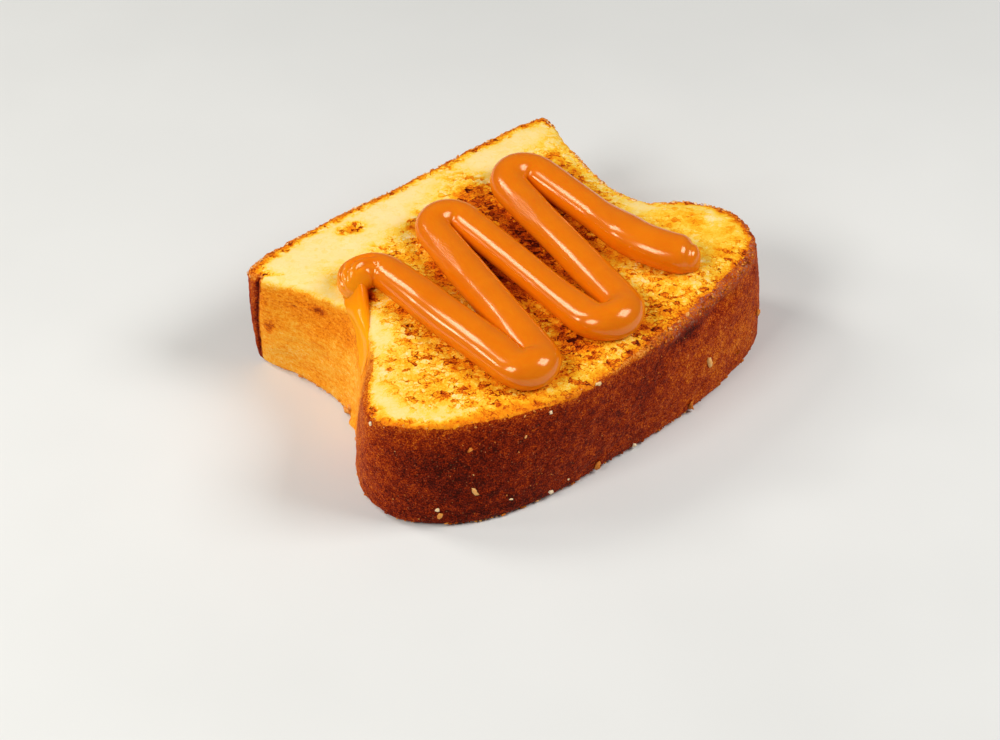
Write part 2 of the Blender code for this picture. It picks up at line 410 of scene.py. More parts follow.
# Where the pale crumb comes down over the dome's rim: the distance round the edge and how far it
# comes, in mm, and how much redder the crust under it is (1 is the most).
RIM_FALLS = (
    (212.0, 0.0, 0.0), (226.0, 0.7, 0.7), (234.0, 0.9, 0.9), (243.0, 1.5, 1.0), (254.0, 0.7, 1.0),
    (263.0, 0.6, 1.0), (273.0, 0.9, 0.8), (286.0, 2.5, 0.5), (300.0, 0.8, 0.3), (316.0, 0.0, 0.25),
    (345.0, 0.0, 0.25), (375.0, 0.0, 0.0),
)

# Larger crags of the wall: the station, height, half length along the edge, half height, and how
# far each stands out (or, where negative, lies back), all in mm.
CRAGS = (
    ("dome_right", 31.5, 13.0, 4.0, -1.9),
    ("dome_right", 37.0, 14.0, 2.6, 0.9),
    ("dome_mid_right", 35.5, 9.0, 3.0, 0.6),
    ("left_notch", 2.5, 5.0, 3.0, 1.8),
    ("left_brow", 30.0, 9.0, 8.0, 0.7),
    ("right_lobe", 22.0, 10.0, 9.0, 0.8),
)


@dataclass
class SliceForm:
    """The slice's form: its edge line, the height of its fried face and the bow of its wall."""

    rim_height: float = 38.3 * MM
    pillow_rise: float = 1.4 * MM  # how much the face swells above its rim,
    pillow_width: float = 11.0 * MM  # and how far inwards it does so
    crisp_edge: float = 0.55  # share of the swell that the rim at the tin's floor has too,
    crisp_from: float = 40.0 * MM  # from this y
    crisp_over: float = 16.0 * MM
    rim_round: float = 1.8 * MM
    foot_round: float = 2.4 * MM
    belly: float = 0.9 * MM  # how far the wall bows out halfway up
    face_relief: float = 0.28 * MM
    corner_spread: float = 3.2 * MM  # the outward direction turns a corner over twice this length
    face_waves: tuple[float, float, float] = (7.1 * MM, 8.3 * MM, 9.7 * MM)
    span_points: int = 8

    def __post_init__(self) -> None:
        """Works out the edge line and its outward normals once."""
        columns = [(s.x * MM, s.y * MM, s.spread * MM, s.crust, s.bake, s.margin, s.lip * MM,
                    s.ragged * MM) for s in STATIONS]
        loop = self.closed_spline(np.array(columns))
        self.line = np.vstack((loop, loop[:1]))
        steps = np.linalg.norm(np.diff(self.line[:, :2], axis=0), axis=1)
        self.places = np.concatenate(((0.0,), np.cumsum(steps)))
        self.length = float(self.places[-1])
        along = np.roll(loop[:, :2], -1, axis=0) - np.roll(loop[:, :2], 1, axis=0)
        along /= np.linalg.norm(along, axis=1, keepdims=True)
        out = np.column_stack((along[:, 1], -along[:, 0]))
        self.out = np.vstack((out, out[:1]))
        spread = np.linspace(-self.corner_spread, self.corner_spread, 9)
        self.out = np.mean([self.outward(self.places + step) for step in spread], axis=0)
        self.station_place = {s.name: float(self.places[i * self.span_points])
                              for i, s in enumerate(STATIONS)}

    def closed_spline(self, start: Array) -> Array:
        """A smooth loop through points: each span is a Catmull-Rom cubic.

        Args:
            start: one row for each point, with any count of columns.

        Returns:
            The loop's points, `span_points` to a span.
        """
        before, end, after = (np.roll(start, shift, axis=0)[:, None, :] for shift in (1, -1, -2))
        start = start[:, None, :]
        share = (np.arange(self.span_points) / self.span_points)[None, :, None]
        slope = end - before
        bend = 2 * before - 5 * start + 4 * end - after
        twist = 3 * (start - end) + after - before
        loop = 0.5 * (2 * start + slope * share + bend * share ** 2 + twist * share ** 3)
        return loop.reshape(-1, loop.shape[-1])

    def edge(self, place: Array) -> Array:
        """Every column of the edge line at distances round it, found between its points."""
        place = place % self.length
        return np.stack([np.interp(place, self.places, c) for c in self.line.T], axis=-1)

    def outward(self, place: Array) -> Array:
        """Unit normals of the edge line, pointing out of the slice, at distances round it.

        Args:
            place: distances round the edge.

        Returns:
            x and y, two to a row.
        """
        place = place % self.length
        out = np.stack([np.interp(place, self.places, c) for c in self.out.T], axis=-1)
        return out / np.linalg.norm(out, axis=-1, keepdims=True)

    def edge_distance(self, plan: Array) -> Array:
        """Distance of places in plan from the edge line, zero on it.

        Args:
            plan: x and y, two to a row.

        Returns:
            One distance for each row, the least over all short straight pieces of the line.
        """
        least = np.full(len(plan), np.inf)
        for start, end in zip(self.line[:-1, :2], self.line[1:, :2]):
            run = end - start
            away = plan - start
            share = np.clip(away @ run / (run @ run), 0.0, 1.0)
            least = np.minimum(least, np.linalg.norm(away - share[:, None] * run, axis=1))
        return least

    def rim_top(self, y: Array) -> Array:
        """Height of the rim: its own height, and part of the pillow's rise at the tin-floor side."""
        crisp = self.crisp_edge * ease((y - self.crisp_from) / self.crisp_over)
        return self.rim_height + self.pillow_rise * crisp

    def face_height(self, plan: Array) -> Array:
        """Height of the fried face: it rises from the rim like a pillow, and has low waves.

        The rise is w(2 - w) of what is left of the pillow, where w grows evenly from 0 at the
        rounded rim to 1 at the pillow's width. The waves are sines in x, in y and askew.

        Args:
            plan: x and y, two to a row.

        Returns:
            One height for each row.
        """
        inside = self.edge_distance(plan)
        x, y = plan[:, 0], plan[:, 1]
        share = np.clip((inside - self.rim_round) / (self.pillow_width - self.rim_round), 0.0, 1.0)
        low = self.rim_top(y)
        across, deep, askew = self.face_waves
        waves = np.sin(x / across + 1.3) * np.sin(y / deep + 0.4) + 0.5 * np.sin((x - 1.6 * y) / askew)
        top = self.rim_height + self.pillow_rise
        return low + (top - low) * share * (2.0 - share) + self.face_relief * waves * ease(share)

    def wall(self, place: Array, height: Array) -> Array:
        """Points on the wall: the line from foot to edge, bowed out, tucked in at the foot.

        Args:
            place: distances round the edge.
            height: heights, one for each place.

        Returns:
            x, y and z, three to a row.
        """
        line = self.edge(place)
        out = self.outward(place)
        share = np.clip(height / (self.rim_height - self.rim_round), 0.0, 1.0)
        foot = line[:, :2] + out * line[:, 2:3]
        rounding = np.clip(1.0 - height / self.foot_round, 0.0, 1.0)
        tucked = self.foot_round * (1.0 - np.sqrt(1.0 - rounding ** 2))
        reach = self.belly * np.sin(np.pi * share) - tucked
        for station, level, half_length, half_height, depth in CRAGS:
            along = abs(place - self.station_place[station]) / (half_length * MM)
            up = abs(height - level * MM) / (half_height * MM)
            reach += depth * MM * ease(1.0 - along) * ease(1.0 - up) * (1.0 - rounding)
        plan = foot + (line[:, :2] - foot) * share[:, None] + out * reach[:, None]
        return np.column_stack((plan, height))

    def skin(self, place: Array, run: Array) -> Array:
        """Points on the slice near its rim, by distance round it and distance across it.

        Args:
            place: distances round the edge.
            run: distances over the rim, zero at its middle, less on the face and more on the wall.

        Returns:
            x, y and z, three to a row.
        """
        half = self.rim_round * np.pi / 4
        line = self.edge(place)
        out = self.outward(place)
        top = self.rim_top(line[:, 1])
        turn = np.clip((run + half) / self.rim_round, 0.0, np.pi / 2)
        inset = self.rim_round * (1.0 - np.sin(turn)) + np.maximum(-half - run, 0.0)
        plan = line[:, :2] - out * inset[:, None]
        height = np.where(run < -half, self.face_height(plan),
                          top - self.rim_round * (1.0 - np.cos(turn)))
        down = self.wall(place, np.maximum(top - self.rim_round - (run - half), 0.0))
        return np.where((run > half)[:, None], down, np.column_stack((plan, height)))


@dataclass(frozen=True)
class Skin:
    """The slice's skin without relief, with one number or row in each array for each point.

    place is the distance round the edge and run the distance over the rim. The rest are the
    stations' columns there.
    """

    points: Array
    place: Array
    run: Array
    crust: Array
    bake: Array
    margin: Array
    lip: Array
    ragged: Array


# ---- how the slice is browned ------------------------------------------------------------------
@dataclass(frozen=True)
class Spot:
    """A patch of colour: its place, its two half sizes and its turn, and how brown it is.

    The place and sizes are in mm: x and y on the face, distance round the edge and height on the
    wall. heat is 0 for pale crumb, 0.5 for golden and 1 for nearly burnt; on crust it is added to
    the bake. pull is how strongly the patch wins over its neighbours.
    """

    name: str
    first: float
    second: float
    half_first: float
    half_second: float
    heat: float
    turn: float = 0.0
    pull: float = 1.0

    def weight(self, first: Array, second: Array) -> Array:
        """A bell over the patch: pull times exp(-r^2), r being 1 on the patch's own ellipse.

        Args:
            first: first coordinate on the side, in metres.
            second: second coordinate on the side, in metres.

        Returns:
            One weight for each point.
        """
        angle = np.radians(self.turn)
        x, y = first / MM - self.first, second / MM - self.second
        u = (x * np.cos(angle) + y * np.sin(angle)) / self.half_first
        v = (y * np.cos(angle) - x * np.sin(angle)) / self.half_second
        return self.pull * np.exp(-(u * u + v * v))


FACE_SPOTS = (
    Spot("cream corner", -47, 46, 19, 8, 0.08, -6, 2.6),
    Spot("cream beside the hook", -58, 36, 7, 12, 0.10, -12, 2),
    Spot("cream at the floor, middle", -12, 50, 22, 4.5, 0.02, 0, 1.6),
    Spot("cream at the floor, right", 42, 50, 14, 4.5, 0.06, 0, 1.6),
    Spot("cream at the floor, inner right", 27, 50, 6, 3.5, 0.05, 0, 1.2),
    Spot("cream at the notch", -53, 4, 6, 8, 0.10, 20, 1.8),
    Spot("cream left lobe", -71, -24, 5, 9, 0.05, 0, 1.6),
    Spot("cream lower left", -62, -38, 12, 4, 0.17, -38, 1.4),
    Spot("golden lower rim", -46, -46, 10, 3, 0.51, -20, 1.2),
    Spot("cream right notch", 53, -3, 5, 5, 0.06, 0, 1.4),
    Spot("yellow right lobe", 58, -19, 6, 5, 0.32, 0, 1.1),
    Spot("cream far right lobe", 67, -14, 5, 4, 0.19, 30, 1),
    Spot("yellow low right", 60, -32, 8, 5, 0.30, 30, 1),
    Spot("golden low right", 44, -43, 9, 3.5, 0.47, 20, 1),
    Spot("golden lower middle", 0, -52, 12, 2.5, 0.41, 0, 1.3),
    Spot("golden field left", -54, -18, 13, 15, 0.36, 0, 1),
    Spot("orange by the first run", -42, -30, 5, 14, 0.64, 0, 1.3),
    Spot("orange above the field", -43, 0, 5, 9, 0.64, 0, 0.9),
    Spot("mottled by the hook", -24, 22, 6, 15, 0.50, 10, 1.4),
    Spot("red-brown by the hook", -19, 12, 3.5, 8, 0.90, 0, 1.4),
    Spot("streak at the floor", 12, 46, 9, 3.5, 0.31, -12, 1.4),
    Spot("red-brown between turns", 14, 33, 4.5, 9, 0.74, 0, 2),
    # painted shade: the crumb in the narrow gaps between the runs is made near-burnt where the bead shades
    # it
    Spot("painted shade between runs, right", 13, 2, 4, 22, 0.97, 0, 2.2),
    Spot("painted shade between runs, left", -6.5, -2, 3.5, 26, 1.00, 0, 2.2),
    Spot("tan crumb between runs", -6.5, -22, 4, 7, 0.43, 0, 2),
    Spot("red-brown under the first bend", -9, -40, 7, 6, 0.78, 0, 1.6),
    Spot("brown between last runs", 28, -14, 5, 16, 0.62, 0, 1.5),
    # painted shade in the narrow gap between the last runs
    Spot("painted shade between last runs", 29, 12, 4, 12, 0.84, 0, 1.6),
    Spot("red-brown under the last run", 27, -41, 8, 6, 0.63, 20, 1.3),
    Spot("brown right margin", 49, 26, 3.5, 9, 0.69, 0, 1.2),
    Spot("gold right margin", 49, 8, 3.5, 9, 0.44, 0, 1),
    Spot("brown under the bends", -20, -50, 12, 2.5, 0.63, -6, 1),
    Spot("brown by the torn rim", 18, -49, 10, 3, 0.68, 6, 1),
    Spot("pale dash in the lobe", 66, -24, 4.5, 1.6, 0.19, 40, 1.3),
    Spot("crater at the floor", -28, 48, 3.4, 1.9, 0.75, -10, 9),
    # darker in the hole beside the hook, on its crater
    Spot("dark spot in the hole beside the hook", -50, 14, 1.2, 1.8, 0.84, 0, 5),
    Spot("cream at the floor, left", -30, 40, 8, 4, 0.02, 0, 1.6),
    Spot("cream between crater and turn", -14, 44, 7, 3.5, 0.02, 0, 1.4),
    Spot("pale above the first turn", -2, 41, 3, 2.5, 0.02, 0, 1.6),
    Spot("yellow beside the first turn", -26, 34, 4, 4, 0.30, 0, 1),
    Spot("orange above the first turn", -10, 35, 3.5, 3, 0.88, 0, 1.2),
    Spot("cream right of the streak", 28, 45, 6, 5, 0.06, 0, 1.3),
    Spot("orange right waist", 51, 32, 3, 7, 0.44, 0, 1.2),
    Spot("yellow right waist, low", 51, 14, 2.5, 8, 0.23, 0, 1.2),
    # painted shade: the dark cavity under the hook's foot
    Spot("painted shade by the hook's foot", -43.5, 17, 2, 2, 1.00, 0, 2),
    # painted shade: maroon crumb beside the second run
    Spot("painted maroon shade under the second run", 1.5, -4, 3, 9, 0.90, 0, 1.5),
    Spot("yellow below the last run", 28, -33, 5, 7, 0.25, 0, 1.4),
    Spot("gold by the right bend", 31, -45, 4, 3, 0.34, 0, 1.2),
    Spot("gold right of the last end", 56, -9, 4, 3, 0.34, 0, 1),
    Spot("orange low in the lobe", 60, -40, 5, 3, 0.60, 0, 1),
    Spot("orange at the torn rim, right", 66, -41, 5, 2.5, 0.49, 0, 1.2),
    Spot("yellow lobe, middle", 62, -26, 5, 4, 0.21, 0, 1),
    Spot("orange low rim, left", -60, -44, 7, 2.5, 0.54, -30, 1.4),
    Spot("orange low rim, middle left", -36, -50, 9, 3, 0.65, 0, 1.4),
    Spot("orange rim of the lobe", -74, -27, 2, 5, 0.69, 0, 1.4),
    Spot("orange in the field, top", -52, -14, 5, 4, 0.52, 0, 1),
    Spot("orange in the field, low", -54, -30, 6, 5, 0.52, 0, 1),
    Spot("yellow in the field", -61, -19, 5, 5, 0.30, 0, 1),
    Spot("cream at the last bend's side", 37, -45, 6, 3, 0.17, 0, 1),
    Spot("yellow end of the rim", 5, -49, 4, 2.5, 0.31, 0, 1.2),
    Spot("brown by the low rim", 14, -50, 4, 3, 0.66, 0, 1),
)

# Painted shade: the hollow under the torn rim is made darker, on the crumb wall and on the crust.
SHADED_HOLLOW = Spot("painted shade in the hollow under the torn rim", 338, 33.0, 9, 2.6, 0.34)

CRUMB_WALL_SPOTS = (
    Spot("orange band under the left rim", 160, 33, 26, 5, 0.55, 0, 1.6),
    Spot("peach at the left foot", 146, 10, 12, 8, 0.34, 0, 1.4),
    Spot("peach at the notch", 178, 14, 8, 8, 0.32, 0, 1.4),
    # darker in the hole on the left wall, on its crater
    Spot("dark spot in the hole on the left wall", 159, 33, 1.8, 1.1, 0.86, -20, 7.0),
    Spot("brown fleck by the crust", 139.5, 19, 1.4, 1.6, 0.80, 0, 5.0),
    Spot("hole at the notch", 186, 30, 2.0, 1.2, 0.95, 30, 7.0),
    SHADED_HOLLOW,
)

# Changes to the crust's darkness. Several are partly the crust's own colour and partly painted light and
# shade: the lower cheek is made paler with painted light, the mahogany patch darker with painted shade, the
# right end paler with painted light, and the foot darker with painted shade.
CRUST_SPOTS = (
    # painted light: paler where the left softbox falls on the lower cheek
    Spot("lower cheek, paler with painted light", 226, 9, 9, 8, -0.03),
    # the crust's own dark mahogany, deepened with painted shade where the wall is turned from the lights
    Spot("dark mahogany, deepened with painted shade", 252, 17, 16, 12, 0.04),
    Spot("red under the left rim", 240, 33, 16, 4, -0.06),
    SHADED_HOLLOW,
    # painted shade: the crust darkened at the foot of the wall
    Spot("painted shade at the foot", 268, 3, 22, 4, 0.02),
    # rust-brown crust made paler, partly with painted light from the right softbox
    Spot("rust-brown on the right, partly painted light", 344, 14, 20, 10, -0.12),
    Spot("rust-brown on the far right, partly painted light", 372, 12, 14, 9, -0.10),
    Spot("dark by the middle", 318, 24, 5, 6, 0.10),
)

@dataclass(frozen=True)
class Crater:
    """A hole in the skin: its side, its place there, its radius and its depth, in mm."""

    name: str
    side: Side
    first: float
    second: float
    radius: float
    depth: float
    widest: float = 1.6  # nothing changes beyond this many radii

    def hole(self, skin: Skin, stray: Array) -> Array:
        """How deep the hole is at each point: it eases from its depth to nothing at its radius.

        Args:
            skin: the slice's skin.
            stray: how far the hole's edge strays, as a share of its radius.

        Returns:
            One depth in mm for each point.
        """
        on_face = self.side is Side.FACE
        first, second = skin.points[:, :2].T if on_face else (skin.place, skin.points[:, 2])
        reach = np.hypot(first - self.first * MM, second - self.second * MM) / (self.radius * MM)
        allowed = (skin.run < 0.0) if on_face else (skin.run > 0.0)
        return self.depth * ease(1.0 - reach + stray) * allowed * (reach < self.widest)


CRATERS = (
    Crater("crater at the floor", Side.FACE, -28.5, 48.0, 3.0, 1.3),
    Crater("hole by the crater", Side.FACE, -26.0, 48.6, 1.4, 0.9),
    Crater("hole beside the hook", Side.FACE, -50.3, 14.3, 1.1, 1.0),
    Crater("hole in the lobe", Side.FACE, 66.0, -24.0, 1.2, 0.7),
    Crater("hole under the last bend", Side.FACE, 8.3, -49.6, 1.1, 1.0),
    Crater("hole on the left wall", Side.WALL, 159.0, 33.0, 1.5, 0.8),
    Crater("hole at the notch", Side.WALL, 186.0, 30.0, 1.6, 1.2),
    Crater("pore on the left wall", Side.WALL, 166.0, 25.0, 1.0, 0.6),
    Crater("pore low on the left wall", Side.WALL, 178.0, 17.0, 1.2, 0.7),
)


@dataclass(frozen=True)
class Browning:
    """Works out how brown the bread is at each point of its skin. Widths are in mm."""

    base_heat: float = 0.34
    base_weight: float = 0.5  # the base counts as much as a spot of this weight
    stray: tuple[Bumps, Bumps] = (Bumps(6.0, 3, 11, 1.8), Bumps(6.0, 3, 17, 1.8))
    margin_start: float = 1.5  # the pale margin is whole up to here, and ends by its width
    margin_width: float = 7.0
    margin_stray: Grain = Grain(5.0, 23, 1.6)
    margin_share: float = 0.75
    margin_heat: float = 0.10
    wall_heat: float = 0.44
    wall_clouds: Bumps = Bumps(7.0, 3, 31, 0.12)
    wall_stray: Grain = Grain(4.0, 37, 1.5)
    crust_clouds: Bumps = Bumps(11.0, 3, 41, 0.07)

    def blend(self, spots: tuple[Spot, ...], first: Array, second: Array, base: Array) -> Array:
        """The mean of the base and of every spot's heat, each by its weight at the point.

        Args:
            spots: the patches of colour.
            first: first coordinate on the side.
            second: second coordinate on the side.
            base: heat where no spot reaches.

        Returns:
            One heat for each point.
        """
        total = base * self.base_weight
        weights = np.full(len(first), self.base_weight)
        for spot in spots:
            weight = spot.weight(first, second)
            total += weight * spot.heat
            weights += weight
        return total / weights

    def face(self, skin: Skin, shown: Array, inside: Array) -> Array:
        """Heat of the fried face: the spots, bent out of true by bumps, and a pale margin.

        Args:
            skin: the slice's skin.
            shown: 0 on the underside and 1 elsewhere.
            inside: distance from the edge line.

        Returns:
            One heat for each point.
        """
        bent = skin.points[:, :2] + MM * np.column_stack([s.at(skin.points) for s in self.stray])
        heat = self.blend(FACE_SPOTS, bent[:, 0], bent[:, 1], np.full(len(bent), self.base_heat))
        past = inside / MM - self.margin_start + self.margin_stray.at(skin.points)
        pale = skin.margin * shown * ease(1.0 - past / self.margin_width)
        return heat * (1.0 - self.margin_share * pale) + self.margin_heat * pale

    def wall_crumb(self, skin: Skin) -> Array:
        """Heat of a crumb wall: gold, with the spots and soft clouds.

        Args:
            skin: the slice's skin.

        Returns:
            One heat for each point.
        """
        place = skin.place + MM * self.wall_stray.at(skin.points)
        base = self.wall_heat + self.wall_clouds.at(skin.points)
        return self.blend(CRUMB_WALL_SPOTS, place, skin.points[:, 2], base)

    def crust(self, skin: Skin) -> Array:
        """Darkness of the crust: the stations' own, changed by each spot, with broad clouds.

        Args:
            skin: the slice's skin.

        Returns:
            One darkness for each point.
        """
        changes = (spot.heat * np.minimum(spot.weight(skin.place, skin.points[:, 2]), 1.0)
                   for spot in CRUST_SPOTS)
        return sum(changes, skin.bake) + self.crust_clouds.at(skin.points)


# ---- the bread ---------------------------------------------------------------------------------
@dataclass(frozen=True)
class FriedBread:
    """Egg-soaked bread, fried in butter: a moist, slightly greasy crumb and a baked crust.

    Butter and egg make the browned parts deepen from cream through gold to red-brown, grain by
    grain, and leave a low, broken sheen. The crust is a thin, dry skin with finer grain.
    """

    name: str = "egg-soaked bread, fried in butter"
    crumb_roughness: float = 0.55
    crust_roughness: float = 0.62
    ior: float = 1.45
    gloss: float = 0.07
    blotch: float = 3.4 * MM
    fine_grain: float = 1.1 * MM
    grit: float = 0.45 * MM  # real grain is finer, and is drawn as coarse as shows
    fleck: float = 0.85 * MM
    pebble: float = 1.7 * MM
    pebble_stretch: float = 1.5  # pebbles lie longer along the first of the grain's two ways
    grain_ways: tuple[tuple[float, float, float], ...] = ((0.773, -0.635, 0.0), (0.635, 0.773, 0.0))
    bend: float = 2.6 * MM  # how far the cracks between pebbles stray
    bend_size: float = 1.8 * MM
    ridge_length: float = 2.0 * MM
    ridge_height: float = 0.70 * MM
    ridge_slant: float = 0.35
    fleck_colour: str = "#D8905A"     # a broken blister of the crust
    fleck_paleness: float = 0.35
    flour_colour: str = "#B5745A"     # flour that clung to the torn rim
    bump_depth: float = 0.30 * MM
    paler_share: float = 0.55  # grains turn less paler than the crumb round them than browner

    def material(self) -> Material:
        """Builds the node tree.

        Returns:
            The material for the slice.
        """
        made, tree = blank_material(self.name)
        node = partial(add_node, tree)
        value = {key: node("Attribute", settings={"attribute_name": key}, out="Fac")
                 for key in ("brown", "speckle", "crust", "bake", "side", "dust", "around")}
        place = node("TexCoord", out="Object")
        blotch, fine, grit = (
            node("TexNoise", {"Vector": place, "Scale": 1.0 / size, "Detail": detail})
            for size, detail in ((self.blotch, 3.0), (self.fine_grain, 3.0), (self.grit, 2.0)))
        ridge = self.ridges(tree, place, value["around"])
        fleck, pale_fleck = self.flecks(tree, place)
        crack, pebble = self.crackle(tree, place, fine, blotch)
        mottle = weighted_sum(tree, ((blotch, 0.95), (fine, 0.85), (grit, 0.60), (crack, 0.46),
                                     (pebble, 0.52), (fleck, 0.26)), -1.50)
        paler = node("Math", {0: mottle, 1: self.paler_share}, {"operation": "MULTIPLY"})
        lopsided = node("Math", {0: mottle, 1: paler}, {"operation": "MAXIMUM"})
        heat = node("Math", {0: lopsided, 1: value["speckle"], 2: value["brown"]},
                    {"operation": "MULTIPLY_ADD"})
        face = node("ValToRGB", {"Fac": heat}, stops=[
            (0.00, "#FAE5AC"), (0.12, "#F9DE94"), (0.24, "#FBD24A"), (0.38, "#FAB41C"),
            (0.54, "#EC800C"), (0.70, "#C04C07"), (0.86, "#7C2306"), (1.00, "#440E03")])
        wall_heat = weighted_sum(tree, ((value["brown"], 1.0), (ridge, 0.42), (fine, 0.45),
                                        (grit, 0.45)), -0.66)
        wall = node("ValToRGB", {"Fac": wall_heat}, stops=[
            (0.08, "#FFD488"), (0.30, "#FFB93C"), (0.46, "#FC9C18"), (0.60, "#EC7C08"),
            (0.76, "#B85006"), (1.00, "#551C04")])
        baked = weighted_sum(tree, ((value["bake"], 1.0), (blotch, 0.55), (fine, 0.55), (grit, 1.25)),
                             -1.165)
        crust = node("ValToRGB", {"Fac": baked}, stops=[
            (0.00, "#F0A048"), (0.25, "#DE7C16"), (0.45, "#C04E08"), (0.62, "#9A2E04"),
            (0.80, "#701802"), (1.00, "#3A0A01")])
        patch = node("MapRange", {"Value": weighted_sum(tree, ((fine, 0.6), (grit, 0.6)), 0.0),
                                  "From Min": 0.60, "From Max": 0.74})
        floury = node("Math", {0: value["dust"], 1: patch}, {"operation": "MULTIPLY"})
        border = node("MapRange", {
            "Value": weighted_sum(tree, ((value["crust"], 1.0), (fine, 0.6)), -0.30),
            "From Min": 0.35, "From Max": 0.65})
        blend = partial(node, "Mix", settings={"data_type": "RGBA"}, out=2)
        crumb = blend({0: value["side"], 6: face, 7: wall})
        flecked = blend({0: pale_fleck, 6: crust, 7: linear(self.fleck_colour)})
        dusty = blend({0: floury, 6: flecked, 7: linear(self.flour_colour)})
        colour = blend({0: border, 6: crumb, 7: dusty})
        relief = node("Mix", {0: value["side"],
                              2: weighted_sum(tree, ((fine, 0.9), (grit, 0.6)), 0.0),
                              3: weighted_sum(tree, ((ridge, 1.1), (grit, 0.5)), 0.0)})
        strength = weighted_sum(tree, ((value["speckle"], 0.5), (value["side"], 0.4), (border, 0.35)),
                                0.15)
        bump = node("Bump", {"Height": relief, "Distance": self.bump_depth, "Strength": strength})
        rough = weighted_sum(tree, ((border, self.crust_roughness - self.crumb_roughness),
                                    (grit, 0.24)), self.crumb_roughness - 0.12)
        shader = node("BsdfPrincipled", {
            "Base Color": colour, "Roughness": rough, "IOR": self.ior,
            "Specular IOR Level": self.gloss, "Normal": bump, "Subsurface Weight": 0.10,
            "Subsurface Radius": (1.0, 0.55, 0.25), "Subsurface Scale": 1.4 * MM})
        node("OutputMaterial", {"Surface": shader})
        return made

    def ridges(self, tree: NodeTree, place: NodeSocket, around: NodeSocket) -> NodeSocket:
        """Short ridges that lie along the crumb wall: noise stretched round the edge.

        Args:
            tree: the material's node tree.
            place: the point in the object.
            around: the distance round the edge.

        Returns:
            A number from 0 to 1.
        """
        node = partial(add_node, tree)
        height = node("SeparateXYZ", {"Vector": place}, out="Z")
        along = node("Math", {0: around, 1: 1.0 / self.ridge_length}, {"operation": "MULTIPLY"})
        up = node("Math", {0: height, 1: 1.0 / self.ridge_height}, {"operation": "MULTIPLY"})
        bent = node("Math", {0: along, 1: self.ridge_slant, 2: up}, {"operation": "MULTIPLY_ADD"})
        spot = node("CombineXYZ", {"X": along, "Y": bent})
        return node("TexNoise", {"Vector": spot, "Scale": 1.0, "Detail": 2.0})

    def crackle(self, tree: NodeTree, place: NodeSocket, fine: NodeSocket,
                broad: NodeSocket) -> tuple[NodeSocket, NodeSocket]:
        """Thin broken cracks between long pebbles of fried crumb, and each pebble's own number.

        Args:
            tree: the material's node tree.
            place: the point in the object.
            fine: fine noise that frays the cracks.
            broad: broad noise that breaks them off here and there.

        Returns:
            1 in a crack and 0 beside it, and a number from 0 to 1 for each pebble.
        """
        node = partial(add_node, tree)
        along, across = (node("VectorMath", {0: place, 1: way}, {"operation": "DOT_PRODUCT"}, "Value")
                         for way in self.grain_ways)
        short = node("Math", {0: along, 1: 1.0 / self.pebble_stretch}, {"operation": "MULTIPLY"})
        laid = node("CombineXYZ", {"X": short, "Y": across})
        stray = node("TexNoise", {"Vector": place, "Scale": 1.0 / self.bend_size, "Detail": 2.0},
                     out="Color")
        push = node("VectorMath", {0: stray, 1: (self.bend,) * 3, 2: laid},
                    {"operation": "MULTIPLY_ADD"})
        cells = {"Vector": push, "Scale": 1.0 / self.pebble}
        edge = node("TexVoronoi", cells, {"feature": "DISTANCE_TO_EDGE"})
        own = node("SeparateColor", {"Color": node("TexVoronoi", cells, out="Color")})
        width = weighted_sum(tree, ((edge, 1.0), (fine, 0.50), (broad, 0.60)), -0.51)
        line = node("MapRange", {"Value": width, "From Min": 0.10, "From Max": 0.0})
        return line, node("Math", {0: own, 1: 2.5}, {"operation": "POWER"})

    def flecks(self, tree: NodeTree, place: NodeSocket) -> tuple[NodeSocket, NodeSocket]:
        """Small round flecks in about a third of all cells.

        Args:
            tree: the material's node tree.
            place: the point in the object.

        Returns:
            1 in a fleck and 0 beside it, and how pale a fleck makes crust.
        """
        node = partial(add_node, tree)
        distance = node("TexVoronoi", {"Vector": place, "Scale": 1.0 / self.fleck})
        chance = node("SeparateColor", {"Color": distance.node.outputs["Color"]})
        small = node("MapRange", {"Value": distance, "From Min": 0.12, "From Max": 0.34,
                                  "To Min": 1.0, "To Max": 0.0})
        some = node("MapRange", {"Value": chance, "From Min": 0.62, "From Max": 0.74})
        pale = node("MapRange", {"Value": chance.node.outputs["Green"], "From Min": 0.40,
                                 "From Max": 0.55, "To Max": self.fleck_paleness})
        fleck = node("Math", {0: small, 1: some}, {"operation": "MULTIPLY"})
        return fleck, node("Math", {0: fleck, 1: pale}, {"operation": "MULTIPLY"})


